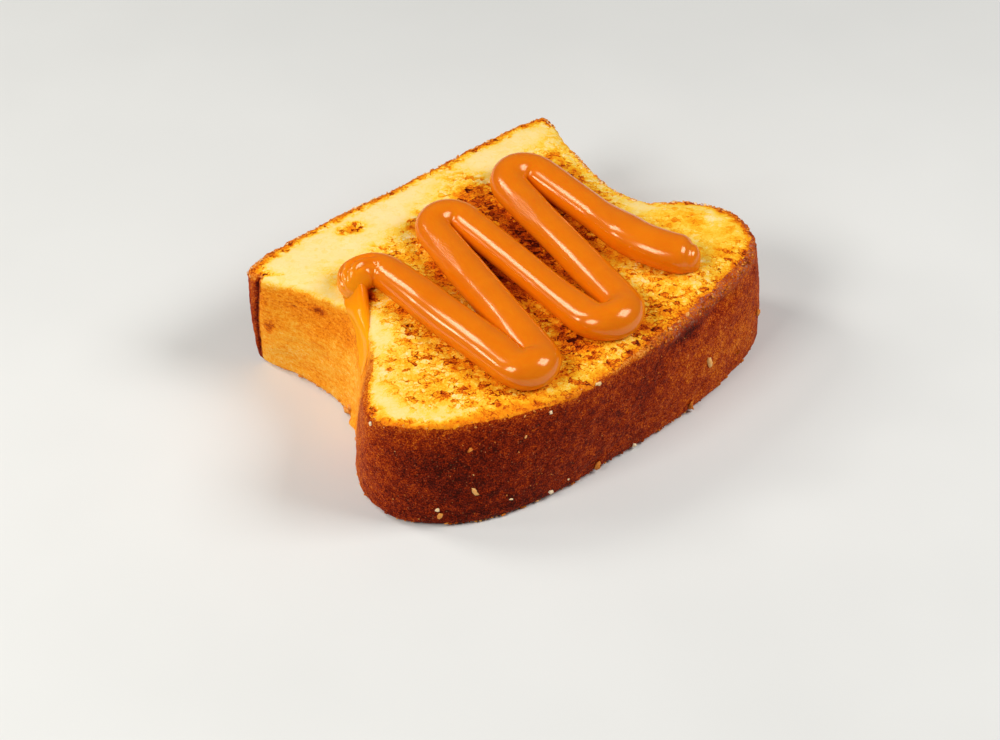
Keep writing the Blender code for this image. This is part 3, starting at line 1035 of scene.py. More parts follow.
@dataclass(frozen=True)
class FriedRelief:
    """Relief of the fried face: packed pebbles of two sizes, cracks between them, and a few pores.

    Heights and depths are in mm. The fields run over points pressed flat, so that they barely
    change over the rim.
    """

    flatness: float = 0.35
    lumps: tuple[Bumps, Bumps] = (Bumps(9.0, 2, 91, 0.26), Bumps(3.0, 2, 93, 0.13))
    smooth_lumps: float = 0.45  # share of the lumps that smooth crumb has too
    pebble: float = 2.5 * MM
    pebble_height: float = 0.24
    pebble_heat: float = 0.16
    crack_half: float = 0.34  # as a share of a pebble
    crack_depth: float = 0.14
    small_pebble: float = 1.5 * MM
    small_height: float = 0.12
    pore_spacing: float = 6.0 * MM
    pore_share: float = 0.30  # share of cells that have a pore
    pore_least: float = 0.12  # the smallest pore, as a share of the spacing
    pore_growth: float = 0.5
    pore_depth: float = 0.7
    pore_heat: float = 0.30

    def at(self, points: Array, speckle: Array, side: Array) -> tuple[Array, Array]:
        """Lift of the skin and added heat.

        Args:
            points: the skin's points.
            speckle: how strongly the crumb is pebbled.
            side: 1 on the wall and 0 on the face.

        Returns:
            The lift in mm and the added heat.
        """
        flat = points * (1.0, 1.0, self.flatness)
        near, gap, own = pebbles(flat, self.pebble, 61)
        crack = ease(1.0 - gap / self.crack_half)
        small_near, _, _ = pebbles(flat, self.small_pebble, 71)
        pore_near, _, pore_own = pebbles(flat, self.pore_spacing, 81)
        radius = self.pore_least + self.pore_growth * pore_own
        pore = (pore_own < self.pore_share) * ease(1.0 - pore_near / radius)
        pore = pore * ease(speckle * 2 - 0.3)
        mottled = speckle * (1.0 - side)
        lift = sum(field.at(flat) for field in self.lumps)
        lift = lift * (self.smooth_lumps + (1.0 - self.smooth_lumps) * speckle)
        lift += mottled * (self.pebble_height * (0.5 - near) - self.crack_depth * crack
                           + self.small_height * (0.5 - small_near))
        lift -= self.pore_depth * pore
        return lift, mottled * self.pebble_heat * (0.5 - own) + self.pore_heat * pore


@dataclass(frozen=True)
class WallRelief:
    """Relief of the crumb wall: broad waves, fine slanting fibres and pores, in mm."""

    waves: Bumps = Bumps(7.0, 2, 99, 0.34)
    slant: float = 0.55  # fibres shift this much round the edge for their height
    stretch: float = 3.0
    fibre: Grain = Grain(1.3, 95)
    fibre_height: float = 0.16
    fibre_heat: float = -0.05
    pore_spacing: float = 1.9 * MM
    pore_stretch: tuple[float, float, float] = (1.4, 1.0, 1.0)
    pore_share: float = 0.22
    pore_radius: float = 0.42
    pore_depth: float = 0.34
    pore_heat: float = 0.14

    def at(self, skin: Skin) -> tuple[Array, Array]:
        """Lift of the skin and added heat.

        Args:
            skin: the slice's skin.

        Returns:
            The lift in mm and the added heat.
        """
        height = skin.points[:, 2]
        along = (skin.place + self.slant * height) / self.stretch
        slanted = np.column_stack((along, height, np.zeros(len(height))))
        fibre = self.fibre.at(slanted)
        near, _, own = pebbles(slanted * self.pore_stretch, self.pore_spacing, 97)
        pore = (own < self.pore_share) * ease(1.0 - near / self.pore_radius)
        lift = self.waves.at(skin.points) + self.fibre_height * fibre - self.pore_depth * pore
        return lift, self.pore_heat * pore + self.fibre_heat * fibre


@dataclass(frozen=True)
class Leather:
    """Relief of the crust: soft waves, fine grain and thin creases between cells, in mm."""

    waves: Bumps = Bumps(4.5, 3, 101, 0.24)
    grain: Grain = Grain(1.3, 103, 0.10)
    cell: float = 3.2 * MM
    crease_half: float = 0.2  # as a share of a cell
    crease_depth: float = 0.10

    def at(self, points: Array) -> Array:
        """Lift of the skin in mm at each point.

        Args:
            points: the skin's points.

        Returns:
            One lift for each point.
        """
        _, gap, _ = pebbles(points, self.cell, 105)
        crease = ease(1.0 - gap / self.crease_half)
        return self.waves.at(points) + self.grain.at(points) - self.crease_depth * crease


@dataclass
class Toast:
    """The slice of bread: one closed skin with its relief and its browning."""

    form: SliceForm
    flat_floor: float = 0.3 * MM  # points lower than this keep to the ground
    half_grid: int = 110  # grid squares from the middle of the face to its edge
    rim_rows: int = 5  # rows of points over the rounded rim
    wall_rows: int = 42  # rows down the wall
    foot_rows: int = 4  # rows round the foot
    floor_shares: tuple[float, ...] = (0.97, 0.8, 0.4)
    left_border: float = 137.8 * MM  # where the tin's crust stops on the left wall, near its top
    border_top: float = 34.0 * MM
    border_lean: float = 0.115
    right_border: float = 3.0 * MM
    groove_inset: float = 1.4 * MM
    groove_half: float = 0.6 * MM
    groove_depth: float = 1.1
    # painted shade: how much darker the crust is made in the crease
    groove_shade: float = 0.45
    groove_foot: tuple[float, float] = (2.0, 6.0)  # mm above the ground where it starts and deepens
    groove_top: float = -1.0 * MM
    lip_bake: float = 0.28  # bake of the crust's rim, and how much more on the torn side
    torn_bake: float = 0.22
    lip_reach: tuple[float, float] = (0.4, 1.6)  # mm over the rim: whole to here, then fading
    lip_least: float = 0.8  # a lip that is less wide, in mm, has no colour of its own,
    lip_fade: float = 0.4  # and this much more gives it whole
    toasted_heat: float = 0.64  # heat that the crumb beside the crust nears
    toasting: float = 0.95  # how near it comes, as a share
    smooth_at: tuple[float, float] = (62.0 * MM, -25.0 * MM)  # middle of the least speckled crumb
    smooth_reach: float = 15.0 * MM
    smoothing: float = 0.42  # share of the speckle that is missing there
    patches: Bumps = Bumps(5.5, 2, 57, 0.17)  # heat of the broad patches there
    red_wall: tuple[float, float] = (0.14, 10.0)  # how much paler the crust is, to what depth in mm
    red_rim: tuple[float, float] = (0.13, 2.0)  # the same for the strip next to the crumb
    red_shift: float = 0.3  # above redder crust the toasted band is this much wider,
    red_cooling: float = 0.07  # this much paler
    red_calm: float = 0.6  # and this much less speckled
    dust_down: tuple[float, float] = (1.0, 4.0)  # flour: whole to here down the wall, then fading
    dust_up: tuple[float, float] = (5.0, 2.0)  # the same over the face
    side_start: float = 2.2  # mm before the rim's middle at which the wall begins,
    side_fade: float = 5.0  # and the mm it takes to be whole
    side_stray: Bumps = Bumps(4.0, 2, 51, 1.1)
    corner_fade: float = 0.6 * MM
    edge_stray: Bumps = Bumps(2.2, 2, 53, 0.7)
    edge_fade: float = 0.9
    band: float = 3.6  # width of the toasted band in mm, and what a wide
    band_more: float = 2.6  # stretch of it adds
    wide_band: Stretch = Stretch(246.0, 14.0, 306.0, 12.0)
    torn_side: Stretch = Stretch(318.0, 14.0, 410.0, 20.0)
    lip_clouds: Grain = Grain(2.4, 55, 0.10)
    least_speckle: float = 0.14  # pebbling of the palest crumb, and its heat
    speckle_fade: float = 0.26
    crater_stray: Grain = Grain(1.2, 107, 0.25)
    tear: float = 1.5  # how far a torn edge strays in plan, in mm
    tear_reach: float = 4.5
    tear_shapes: tuple[Bumps, Grain] = (Bumps(3.2, 3, 111), Grain(1.1, 117, 0.6))

    def build(self) -> Object:
        """Makes the skin, adds the relief along its normals and stores what the material reads.

        Returns:
            The piece, dressed.
        """
        points, place, run, quads, fan = self.bare_skin()
        skin = Skin(points, place, run, *self.form.edge(place)[:, 3:].T)
        values = self.browned(skin)
        groove = self.groove(skin)
        lift, extra = self.relief(skin, values)
        lift -= self.groove_depth * groove
        # painted shade: the crease is darkened as well as cut
        values["bake"] += self.groove_shade * groove
        values["brown"] += extra
        moved = points + vertex_normals(points, quads) * (lift * MM)[:, None]
        moved[:, :2] += self.form.outward(place) * self.torn(skin)[:, None]
        underside = points[:, 2] < self.flat_floor
        moved[underside] = points[underside]
        moved[:, 2] = np.maximum(moved[:, 2], 0.0)
        item = mesh_object("toast_skin", moved, [quads, fan], values)
        item.data.materials.append(FriedBread().material())
        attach(item, "root")
        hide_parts("toast")
        return item

    def bare_skin(self) -> tuple[Array, ...]:
        """The skin without relief: a grid over the face, rows round rim, wall and foot, and a fan.

        The grid is square, and each of its square rings lies on a copy of the edge line scaled
        down by the ring's number, so its outermost ring has the same points as the first row.

        Returns:
            Points, the distance round the edge of each, its distance over the rim, the faces with
            four corners, and the three-cornered ones that close the underside.
        """
        form = self.form
        steps = np.linspace(-1.0, 1.0, 2 * self.half_grid + 1)
        across, deep = np.meshgrid(steps, steps, indexing="ij")
        ring = np.maximum(abs(across), abs(deep))
        scale = np.where(ring > 0.0, ring, 1.0)
        u, v = across / scale, deep / scale
        near = 1.0 - 1e-9
        quarter = np.select([v >= near, u <= -near, v <= -near],
                            [(1 - u) / 2, 1 + (1 - v) / 2, 2 + (1 + u) / 2], 3 + (1 + v) / 2)
        place = (quarter / 4.0 * form.length).ravel()
        start = form.edge(place)[:, :2] - form.outward(place) * form.rim_round
        plan = start * ring.ravel()[:, None]
        face = np.column_stack((plan, form.face_height(plan)))
        half = form.rim_round * np.pi / 4
        face_run = -half - (1.0 - ring.ravel()) * np.linalg.norm(start, axis=1)
        number = np.arange(len(face)).reshape(ring.shape)
        face_quads = np.stack((number[:-1, :-1], number[1:, :-1], number[1:, 1:], number[:-1, 1:]),
                              axis=-1).reshape(-1, 4)
        loop = np.concatenate((number[:0:-1, -1], number[0, :0:-1], number[:-1, 0], number[-1, :-1]))
        count = len(loop)
        loop_place = np.arange(count) / count * form.length
        rows, runs = [], []
        for share in np.linspace(0.0, 1.0, self.rim_rows + 1)[1:]:
            run = -half + share * 2 * half
            rows.append(form.skin(loop_place, np.full(count, run)))
            runs.append(np.full(count, run))
        top = form.rim_top(form.edge(loop_place)[:, 1]) - form.rim_round
        for share in np.linspace(1.0, 0.0, self.wall_rows + 1)[1:]:
            height = form.foot_round + share * (top - form.foot_round)
            rows.append(form.wall(loop_place, height))
            runs.append(half + top - height)
        for angle in np.linspace(0.0, np.pi / 2, self.foot_rows + 1)[1:]:
            height = np.full(count, form.foot_round * (1.0 - np.sin(angle)))
            rows.append(form.wall(loop_place, height))
            runs.append(half + top - height)
        foot = rows[-1]
        for share in self.floor_shares:
            rows.append(foot * (share, share, 1.0))
            runs.append(runs[-1])
        base = len(face)
        wall_points = np.vstack(rows)
        numbers = np.vstack((loop, base + np.arange(len(wall_points)).reshape(len(rows), count)))
        beside = np.roll(numbers, -1, axis=1)
        wall_quads = np.stack((numbers[1:], beside[1:], beside[:-1], numbers[:-1]), axis=-1)
        middle = base + len(wall_points)
        fan = np.column_stack((np.full(count, middle), beside[-1], numbers[-1]))
        points = np.vstack((face, wall_points, np.zeros((1, 3))))
        places = np.concatenate((place, np.tile(loop_place, len(rows)), (0.0,)))
        run = np.concatenate((face_run, *runs, (0.06,)))
        quads = np.vstack((face_quads, wall_quads.reshape(-1, 4)))
        return points, places, run, quads, fan

    def browned(self, skin: Skin) -> dict[str, Array]:
        """Heat, crust, bake and the other numbers that the material reads.

        Args:
            skin: the slice's skin.

        Returns:
            One array for each name.
        """
        form, browning = self.form, Browning()
        points, place, run, lip = skin.points, skin.place, skin.run, skin.lip
        height, over = points[:, 2], run / MM
        shown = 1.0 - ease((run - self.under_run) / MM)
        inside = np.where(run < 0.0, form.edge_distance(points[:, :2]), 0.0)
        side = ease((over + self.side_start + self.side_stray.at(points)) / self.side_fade) * shown
        heat = browning.face(skin, shown, inside) * (1.0 - side) + browning.wall_crumb(skin) * side
        ends = (place < form.station_place["left_waist"]) | (place > form.station_place["right_waist"])
        corner = ease(self.past_border(place, height) / self.corner_fade + 0.5)
        crust = np.where(ends, corner, skin.crust)
        falls = np.array(RIM_FALLS).T
        fall, redder = (np.interp(place / MM, falls[0], column) for column in falls[1:])
        beyond = (np.where(run < 0.0, -inside, run) + lip) / MM + self.edge_stray.at(points) - fall
        on_lip = ease(beyond / self.edge_fade + 0.5) * (lip > 0.05 * MM)
        on_wall = 1.0 - np.minimum(2.0 * fall, 1.0) * (1.0 - on_lip)
        crust_here = shown * np.where(run < -form.rim_round * 0.5, on_lip * np.minimum(crust * 1.5, 1.0),
                                      crust * on_wall)
        width = self.band + self.band_more * self.wide_band.share(place)
        toasted = ease(1.0 + self.red_shift * redder + beyond / width) * crust * shown
        near_crust = self.toasted_heat - self.red_cooling * redder
        heat = heat + self.toasting * toasted * np.clip(near_crust - heat, 0.0, 1.0)
        baked = browning.crust(skin)
        whole, fading = self.lip_reach
        top_lip = ease(1.0 - (over - whole) / fading)
        top_lip *= np.clip((lip / MM - self.lip_least) / self.lip_fade, 0.0, 1.0)
        torn_side = self.torn_side.share(place)
        lip_bake = self.lip_bake + self.torn_bake * torn_side + self.lip_clouds.at(points)
        baked += (lip_bake - baked) * top_lip
        for drop, depth in (self.red_wall, self.red_rim):
            baked -= drop * redder * ease(1.0 - (over - fall) / depth)
        dust = torn_side * ease(1.0 - (over - self.dust_down[0]) / self.dust_down[1])
        dust *= ease((over + self.dust_up[0]) / self.dust_up[1])
        away = np.hypot(points[:, 0] - self.smooth_at[0], points[:, 1] - self.smooth_at[1])
        smooth = ease(1.5 - away / self.smooth_reach)
        risen = ease((heat - self.least_speckle) / self.speckle_fade)
        risen *= 1.0 - self.red_calm * redder * toasted
        speckle = self.least_speckle + (1.0 - self.least_speckle) * risen
        speckle *= 1.0 - self.smoothing * smooth
        heat += smooth * (1.0 - side) * self.patches.at(points)
        return {"brown": heat, "crust": crust_here, "bake": baked, "side": side, "dust": dust,
                "speckle": speckle, "around": place}

    @property
    def under_run(self) -> float:
        """Distance over the rim at which the underside begins."""
        form = self.form
        return form.rim_height - form.rim_round + form.rim_round * np.pi / 4

    def past_border(self, place: Array, height: Array) -> Array:
        """How far a point lies on the crust's side of its border at either tin corner."""
        left = self.left_border - self.border_lean * (self.border_top - height) - place
        return np.maximum(left, place - (self.form.length - self.right_border))

    def groove(self, skin: Skin) -> Array:
        """The crease beside the crust's border: a bell across it that fades out toward the ground.

        Args:
            skin: the slice's skin.

        Returns:
            A share from 0 to 1 for each point.
        """
        past = self.past_border(skin.place, skin.points[:, 2]) - self.groove_inset
        low, deepening = self.groove_foot
        deep = ease((skin.points[:, 2] / MM - low) / deepening) * (skin.run > self.groove_top)
        return np.exp(-(past / self.groove_half) ** 2) * deep

    def relief(self, skin: Skin, values: dict[str, Array]) -> tuple[Array, Array]:
        """How far the skin stands out, and how much browner its cracks and pits are.

        Args:
            skin: the slice's skin.
            values: the numbers that the material reads.

        Returns:
            The lift in mm and the added heat.
        """
        side, crust = values["side"], values["crust"]
        face, face_heat = FriedRelief().at(skin.points, values["speckle"], side)
        wall, wall_heat = WallRelief().at(skin)
        outer = wall * (1.0 - crust) + Leather().at(skin.points) * crust
        lift = face * (1.0 - side) + side * outer
        stray = self.crater_stray.at(skin.points)
        for crater in CRATERS:
            lift -= crater.hole(skin, stray)
        return lift, face_heat * (1.0 - side) + side * wall_heat

    def torn(self, skin: Skin) -> Array:
        """How far the edge is torn in and out in plan, strongest on the rim itself."""
        near_rim = self.tear * ease(1.0 - abs(skin.run / MM) / self.tear_reach)
        return skin.ragged * near_rim * sum(shape.at(skin.points) for shape in self.tear_shapes)


# ---- the caramel -------------------------------------------------------------------------------
@dataclass(frozen=True)
class SoftCaramel:
    """Cream caramel, poured warm and set soft: opaque, smooth and wet-looking.

    It is cloudy, so light goes a few millimetres in and comes back a deeper orange, and its skin
    is smooth enough to mirror the windows.
    """

    name: str = "cream caramel, set soft"
    body: str = "#ED8207"
    deep: str = "#DF7102"
    thin: str = "#FFA60C"
    gloss_tint: str = "#FFE6C8"
    gloss: float = 0.70
    roughness: float = 0.15
    froth_roughness: float = 0.08  # added where the skin is dulled by tiny bubbles
    bubble: float = 0.45 * MM  # real bubbles are finer, and are drawn as coarse as shows
    bubble_depth: float = 0.10 * MM
    ripple: float = 2.2 * MM  # slow waves that the piping left
    ripple_depth: float = 0.05 * MM
    swirl: float = 9.0 * MM  # streaks of deeper colour, folded in as it cooled
    ior: float = 1.49

    def material(self) -> Material:
        """Builds the node tree.

        Returns:
            The material for the bead, the drip and the droplets.
        """
        made, tree = blank_material(self.name)
        node = partial(add_node, tree)
        place = node("TexCoord", out="Object")
        thin, froth = (node("Attribute", settings={"attribute_name": key}, out="Fac")
                       for key in ("thin", "froth"))
        swirl = node("TexNoise", {"Vector": place, "Scale": 1.0 / self.swirl, "Detail": 3.0,
                                  "Distortion": 1.2})
        blend = partial(node, "Mix", settings={"data_type": "RGBA"}, out=2)
        colour = blend({0: swirl, 6: linear(self.deep), 7: linear(self.body)})
        amber = blend({0: thin, 6: colour, 7: linear(self.thin)})
        ripple = node("TexNoise", {"Vector": place, "Scale": 1.0 / self.ripple, "Detail": 2.0})
        swell = node("Bump", {"Height": ripple, "Distance": self.ripple_depth, "Strength": 0.2})
        bubbles = node("TexVoronoi", {"Vector": place, "Scale": 1.0 / self.bubble})
        bump = node("Bump", {"Height": bubbles, "Distance": self.bubble_depth, "Strength": froth,
                             "Normal": swell})
        rough = node("Math", {0: froth, 1: self.froth_roughness, 2: self.roughness},
                     {"operation": "MULTIPLY_ADD"})
        shader = node("BsdfPrincipled", {
            "Base Color": amber, "Roughness": rough, "IOR": self.ior,
            "Specular Tint": linear(self.gloss_tint), "Specular IOR Level": self.gloss,
            "Normal": bump, "Subsurface Weight": 0.35,
            "Subsurface Radius": (1.0, 0.35, 0.05), "Subsurface Scale": 1.8 * MM})
        node("OutputMaterial", {"Surface": shader})
        return made


@dataclass(frozen=True)
class Turn:
    """A turn of the piped line: its circle, and the bead there and on the run that follows.

    x, y, the radius (negative where the line turns clockwise), and both widths are in mm; tall is
    the bead's height at the turn as a share of its width, and rise is how much it heaps up more
    at the middle of the turn, in mm.
    """

    name: str
    x: float
    y: float
    radius: float
    width: float
    run_width: float
    tall: float
    rise: float


@dataclass(frozen=True)
class Fold:
    """A crease where the thin start of the caramel doubled over: from and to in mm along the
    bead, the angles round the section there in degrees, its depth in mm and its half width."""

    start: float
    end: float
    angle_start: float
    angle_end: float
    depth: float
    half_width: float


TURNS = (
    Turn("over_the_edge", -51.0, 15.6, 0.0, 6.4, 9.0, 0.42, 0.0),
    Turn("hook", -42.3, 17.9, -6.4, 12.2, 13.6, 0.77, 0.4),
    Turn("pool_left", -28.6, -40.3, 4.5, 14.3, 12.7, 0.67, 1.3),
    Turn("turn_one", -5.9, 24.1, -5.9, 12.1, 11.5, 0.71, 1.2),
    Turn("pool_right", 5.7, -37.8, 6.7, 12.8, 12.1, 0.69, 1.3),
    Turn("turn_two", 28.4, 26.5, -6.3, 12.6, 11.8, 0.73, 1.2),
    Turn("last_bend", 73.0, -12.5, 37.4, 14.6, 13.0, 0.70, 0.0),
    Turn("last_drop", 45.9, -38.9, 0.0, 14.2, 14.2, 0.67, 0.0),
)

FOLDS = (
    Fold(0.5, 13.0, 34.0, 50.0, 0.8, 7.0),
    Fold(0.5, 15.0, 64.0, 84.0, 0.7, 7.0),
    Fold(3.0, 17.0, 104.0, 118.0, 0.6, 7.0),
)


@dataclass(frozen=True)
class Froth:
    """Where tiny bubbles dull the bead's skin, and so spread its shine: middle and half width in mm."""

    name: str
    x: float
    y: float
    half_width: float
    most: float

    def share(self, points: Array) -> Array:
        """A bell over the patch: its most times exp(-r^2), where r is 1 at its half width."""
        away = np.hypot(points[:, 0] / MM - self.x, points[:, 1] / MM - self.y) / self.half_width
        return self.most * np.exp(-away ** 2)


FROTH = (
    Froth("first far turn", -16.6, 12.0, 7.0, 1.0),
    Froth("second far turn", 16.8, 14.0, 8.0, 1.0),
)


@dataclass
class CaramelBead:
    """The piped bead: a rounded section, flat underneath, carried along runs and turns."""

    form: SliceForm
    run_height: float = 0.72
    run_ends: tuple[float, float] = (0.3, 0.7)
    skipped: float = 4.2 * MM  # length of the line's start, where the thin drip takes over
    stand: float = 0.62  # share of its half width that the bead stands on
    meeting_share: float = 0.985  # share of the way to where two stretches meet that each fills
    step: float = 0.7 * MM
    sides: int = 56
    arc_points: int = 25
    end_rings: int = 12
    end_height: float = 0.35
    sink: float = 0.35 * MM  # how far the bead's foot lies below the bread's mean surface
    smoothing: float = 1.4 * MM
    neck_place: float = 3.3 * MM  # the end is nipped in this far from its tip, where the bag was drawn off
    neck_half: float = 0.7 * MM
    neck_depth: float = 0.09
    pulse: Bumps = Bumps(11.0, 2, 201, 0.008)  # how unevenly the bag was pressed, as a share
    flat_sides: int = 8  # points of a section that lie on its flat foot
    thin_reach: float = 9.0 * MM  # the bead's start is thinned over this length
    thin_share: float = 0.6

    def build(self) -> Object:
        """Makes the bead and dresses it.

        Returns:
            The piece, which stands for the CAD bead.
        """
        rings, lengths = self.sections()
        count = len(rings)
        points = np.vstack((rings.reshape(-1, 3), rings[0].mean(0), rings[-1].mean(0)))
        quads = grid_quads(count, self.sides, closed=True)
        first = np.arange(self.sides)
        after = (first + 1) % self.sides
        last = (count - 1) * self.sides
        start, end = count * self.sides, count * self.sides + 1
        caps = np.vstack((np.column_stack((np.full(self.sides, start), after, first)),
                          np.column_stack((np.full(self.sides, end), last + first, last + after))))
        length = np.repeat(lengths, self.sides)
        thin = self.thin_share * np.concatenate((ease(1.0 - length / self.thin_reach), (1.0, 0.0)))
        froth = np.zeros(len(points))
        for patch in FROTH:
            froth = np.maximum(froth, patch.share(points))
        item = mesh_object("caramel_bead", points, [quads, caps], {"thin": thin, "froth": froth})
        item.data.materials.append(SoftCaramel().material())
        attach(item, "root")
        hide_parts("caramel")
        return item

    def middle_line(self) -> Array:
        """The bead's middle line: x, y, width, height and rise at each point, in metres.

        A straight run touches the circles at both of its ends. Its heading is that of the line
        between their centres, turned by the angle whose sine is the difference of the radii over
        the distance between the centres.

        Returns:
            One row for each point, unevenly spaced.
        """
        turns = np.array([(t.x, t.y, t.radius, t.width, t.run_width, t.rise) for t in TURNS]) * MM
        tall = [t.tall for t in TURNS]
        away = np.diff(turns[:, :3], axis=0)
        distance = np.hypot(away[:, 0], away[:, 1])
        heading = np.unwrap(np.arctan2(away[:, 1], away[:, 0]) - np.arcsin(away[:, 2] / distance))
        pieces: list[Array] = []
        swell = np.sin(np.linspace(0.0, np.pi, self.arc_points))
        for i, (x, y, radius, width, _, rise) in enumerate(turns):
            arrives, leaves = heading[max(i - 1, 0)], heading[min(i, len(heading) - 1)]
            if radius * (leaves - arrives) < 0.0:
                leaves += np.copysign(2 * np.pi, radius)
            angle = np.linspace(arrives, leaves, self.arc_points)[:, None]
            arc = np.hstack((x + radius * np.sin(angle), y - radius * np.cos(angle)))
            if pieces:
                begin, run_width = pieces[-1][-1, :2], turns[i - 1, 4]
                run = begin + (arc[0] - begin) * np.array(self.run_ends)[:, None]
                pieces.append(self.sized(run, run_width, run_width * self.run_height, 0.0))
            pieces.append(self.sized(arc, width, width * tall[i], rise * swell))
        line = np.vstack(pieces)
        steps = np.linalg.norm(np.diff(line[:, :2], axis=0), axis=1)
        return line[np.concatenate(((True,), steps > 1e-9))]

    @staticmethod
    def sized(plan: Array, width: float, height: float, rise: float | Array) -> Array:
        """Points in plan with a width, a height and a rise beside each."""
        same = [np.full(len(plan), value) for value in (width, height)]
        return np.column_stack((plan, *same, np.full(len(plan), rise)))

    def smoothed(self, line: Array) -> tuple[Array, Array]:
        """The line at even steps, each column averaged with its neighbours by a bell curve.

        Args:
            line: the unevenly spaced line.

        Returns:
            Distances along it, and the smoothed columns there.
        """
        steps = np.linalg.norm(np.diff(line[:, :2], axis=0), axis=1)
        length = np.concatenate(((0.0,), np.cumsum(steps)))
        even = np.linspace(0.0, length[-1], int(length[-1] / (0.25 * MM)))
        spacing = even[1]
        reach = int(3 * self.smoothing / spacing)
        bell = np.exp(-0.5 * (np.arange(-reach, reach + 1) * spacing / self.smoothing) ** 2)
        bell /= bell.sum()
        columns = []
        for column in line.T:
            values = np.interp(even, length, column)
            slope_in, slope_out = values[1] - values[0], values[-1] - values[-2]
            grown = np.concatenate((values[0] + slope_in * np.arange(-reach, 0), values,
                                    values[-1] + slope_out * np.arange(1, reach + 1)))
            columns.append(np.convolve(grown, bell, mode="valid"))
        return even, np.column_stack(columns)

    @staticmethod
    def free_reach(plan: Array, side: Array) -> Array:
        """How far the bead may reach to one side of each point before it meets the rest of itself.

        Two points of the line are equally near to a place that lies off to the side by their
        distance squared over twice the part of that distance that points to the side.

        Args:
            plan: the line's points in plan.
            side: a unit vector to that side, one for each point.

        Returns:
            One distance for each point.
        """
        away = plan[None, :, :] - plan[:, None, :]
        toward = np.maximum((away * side[:, None, :]).sum(-1), 1e-9)
        return ((away ** 2).sum(-1) / (2 * toward) + np.eye(len(plan))).min(1)

    def sections(self) -> tuple[Array, Array]:
        """Rings of points along the bead.

        A section is an ellipse cut off flat where it stands on the bread. Both its sizes shrink
        over the ends as a ball's do, and it stops just short of where it would meet another
        stretch. Folds are creases pressed into it, each a bell curve round the section.

        Returns:
            An array of rings by points by x, y and z, and how far along the line each ring is.
        """
        even, line = self.smoothed(self.middle_line())
        kept = even >= self.skipped
        even, line = even[kept] - even[kept][0], line[kept]
        whole = even[-1]
        angles = np.linspace(0.0, np.pi / 2, self.end_rings + 1)[1:]
        taper = 0.5 * line[-1, 2] * (1.0 - np.cos(angles))
        middle = np.linspace(taper[-1], whole - taper[-1], int(whole / self.step))[1:-1]
        lengths = np.concatenate((taper, middle, whole - taper[::-1]))
        ball = np.concatenate((np.sin(angles), np.ones(len(middle)), np.sin(angles[::-1])))
        here = np.column_stack([np.interp(lengths, even, column) for column in line.T])
        along = np.column_stack([np.interp(lengths, even, np.gradient(column, even))
                                 for column in line[:, :2].T])
        along /= np.linalg.norm(along, axis=1, keepdims=True)
        left = np.column_stack((-along[:, 1], along[:, 0]))
        seed_line = np.column_stack((lengths, np.zeros((len(lengths), 2))))
        pulse = 1.0 + self.pulse.at(seed_line)
        nip = (whole - self.neck_place - lengths) / self.neck_half
        pulse *= 1.0 - self.neck_depth * np.exp(-nip ** 2)
        half = 0.5 * here[:, 2] * ball * pulse
        tall = (here[:, 3] + here[:, 4]) * (self.end_height + (1.0 - self.end_height) * ball) * pulse
        low = -np.arccos(self.stand)
        angle = np.linspace(low, np.pi - low, self.sides - self.flat_sides)
        flat = np.linspace(-self.stand, self.stand, self.flat_sides + 2)[1:-1]
        across = np.concatenate((np.cos(angle), flat))
        up = np.concatenate((np.sin(angle), np.full(self.flat_sides, np.sin(low))))
        up = (up - up.min()) / (up.max() - up.min())
        degrees = np.degrees(np.concatenate((angle, np.full(self.flat_sides, -90.0))))
        shrink = np.ones((len(here), self.sides))
        for fold in FOLDS:
            share = (lengths / MM - fold.start) / (fold.end - fold.start)
            line_angle = fold.angle_start + (fold.angle_end - fold.angle_start) * share
            inside = ease(share * 4.0) * ease((1.0 - share) * 4.0)
            bell = np.exp(-((degrees[None, :] - line_angle[:, None]) / fold.half_width) ** 2)
            shrink -= fold.depth * MM / half[:, None].clip(MM) * bell * inside[:, None]
        free = [self.meeting_share * self.free_reach(here[:, :2], side) for side in (left, -left)]
        reach = np.clip(across[None, :] * half[:, None] * shrink, -free[1][:, None], free[0][:, None])
        plan = here[:, None, :2] + reach[..., None] * left[:, None, :]
        ground = self.form.face_height(plan.reshape(-1, 2)).reshape(plan.shape[:2])
        height = ground - self.sink + up[None, :] * shrink * (tall[:, None] + self.sink)
        return np.concatenate((plan, height[..., None]), axis=-1), lengths


@dataclass(frozen=True)
class DripKnot:
    """The two borders of the drip at one of its rows, and how thick and how thin-run it is there.

    Each border has a distance round the slice's edge and a distance over its rim, in mm, as
    `SliceForm.skin` takes them; thickness is in mm and thin is a share.
    """

    first_place: float
    first_run: float
    second_place: float
    second_run: float
    thickness: float
    thin: float


DRIP = (
    DripKnot(163.4, -9.0, 167.4, -12.7, 8.4, 0.0),
    DripKnot(163.2, -7.0, 168.9, -10.8, 7.8, 0.0),
    DripKnot(164.2, -4.0, 170.8, -8.0, 6.2, 0.1),
    DripKnot(166.4, -0.8, 173.5, -5.0, 4.1, 0.4),
    DripKnot(169.4, 2.6, 177.2, -2.7, 2.5, 0.75),
    DripKnot(172.6, 6.6, 182.8, -0.8, 1.6, 1.0),
    DripKnot(176.0, 11.0, 187.2, 1.2, 1.1, 1.0),
    DripKnot(180.2, 15.2, 188.8, 6.0, 0.8, 1.0),
    DripKnot(184.6, 18.0, 188.4, 13.0, 0.6, 1.0),
)


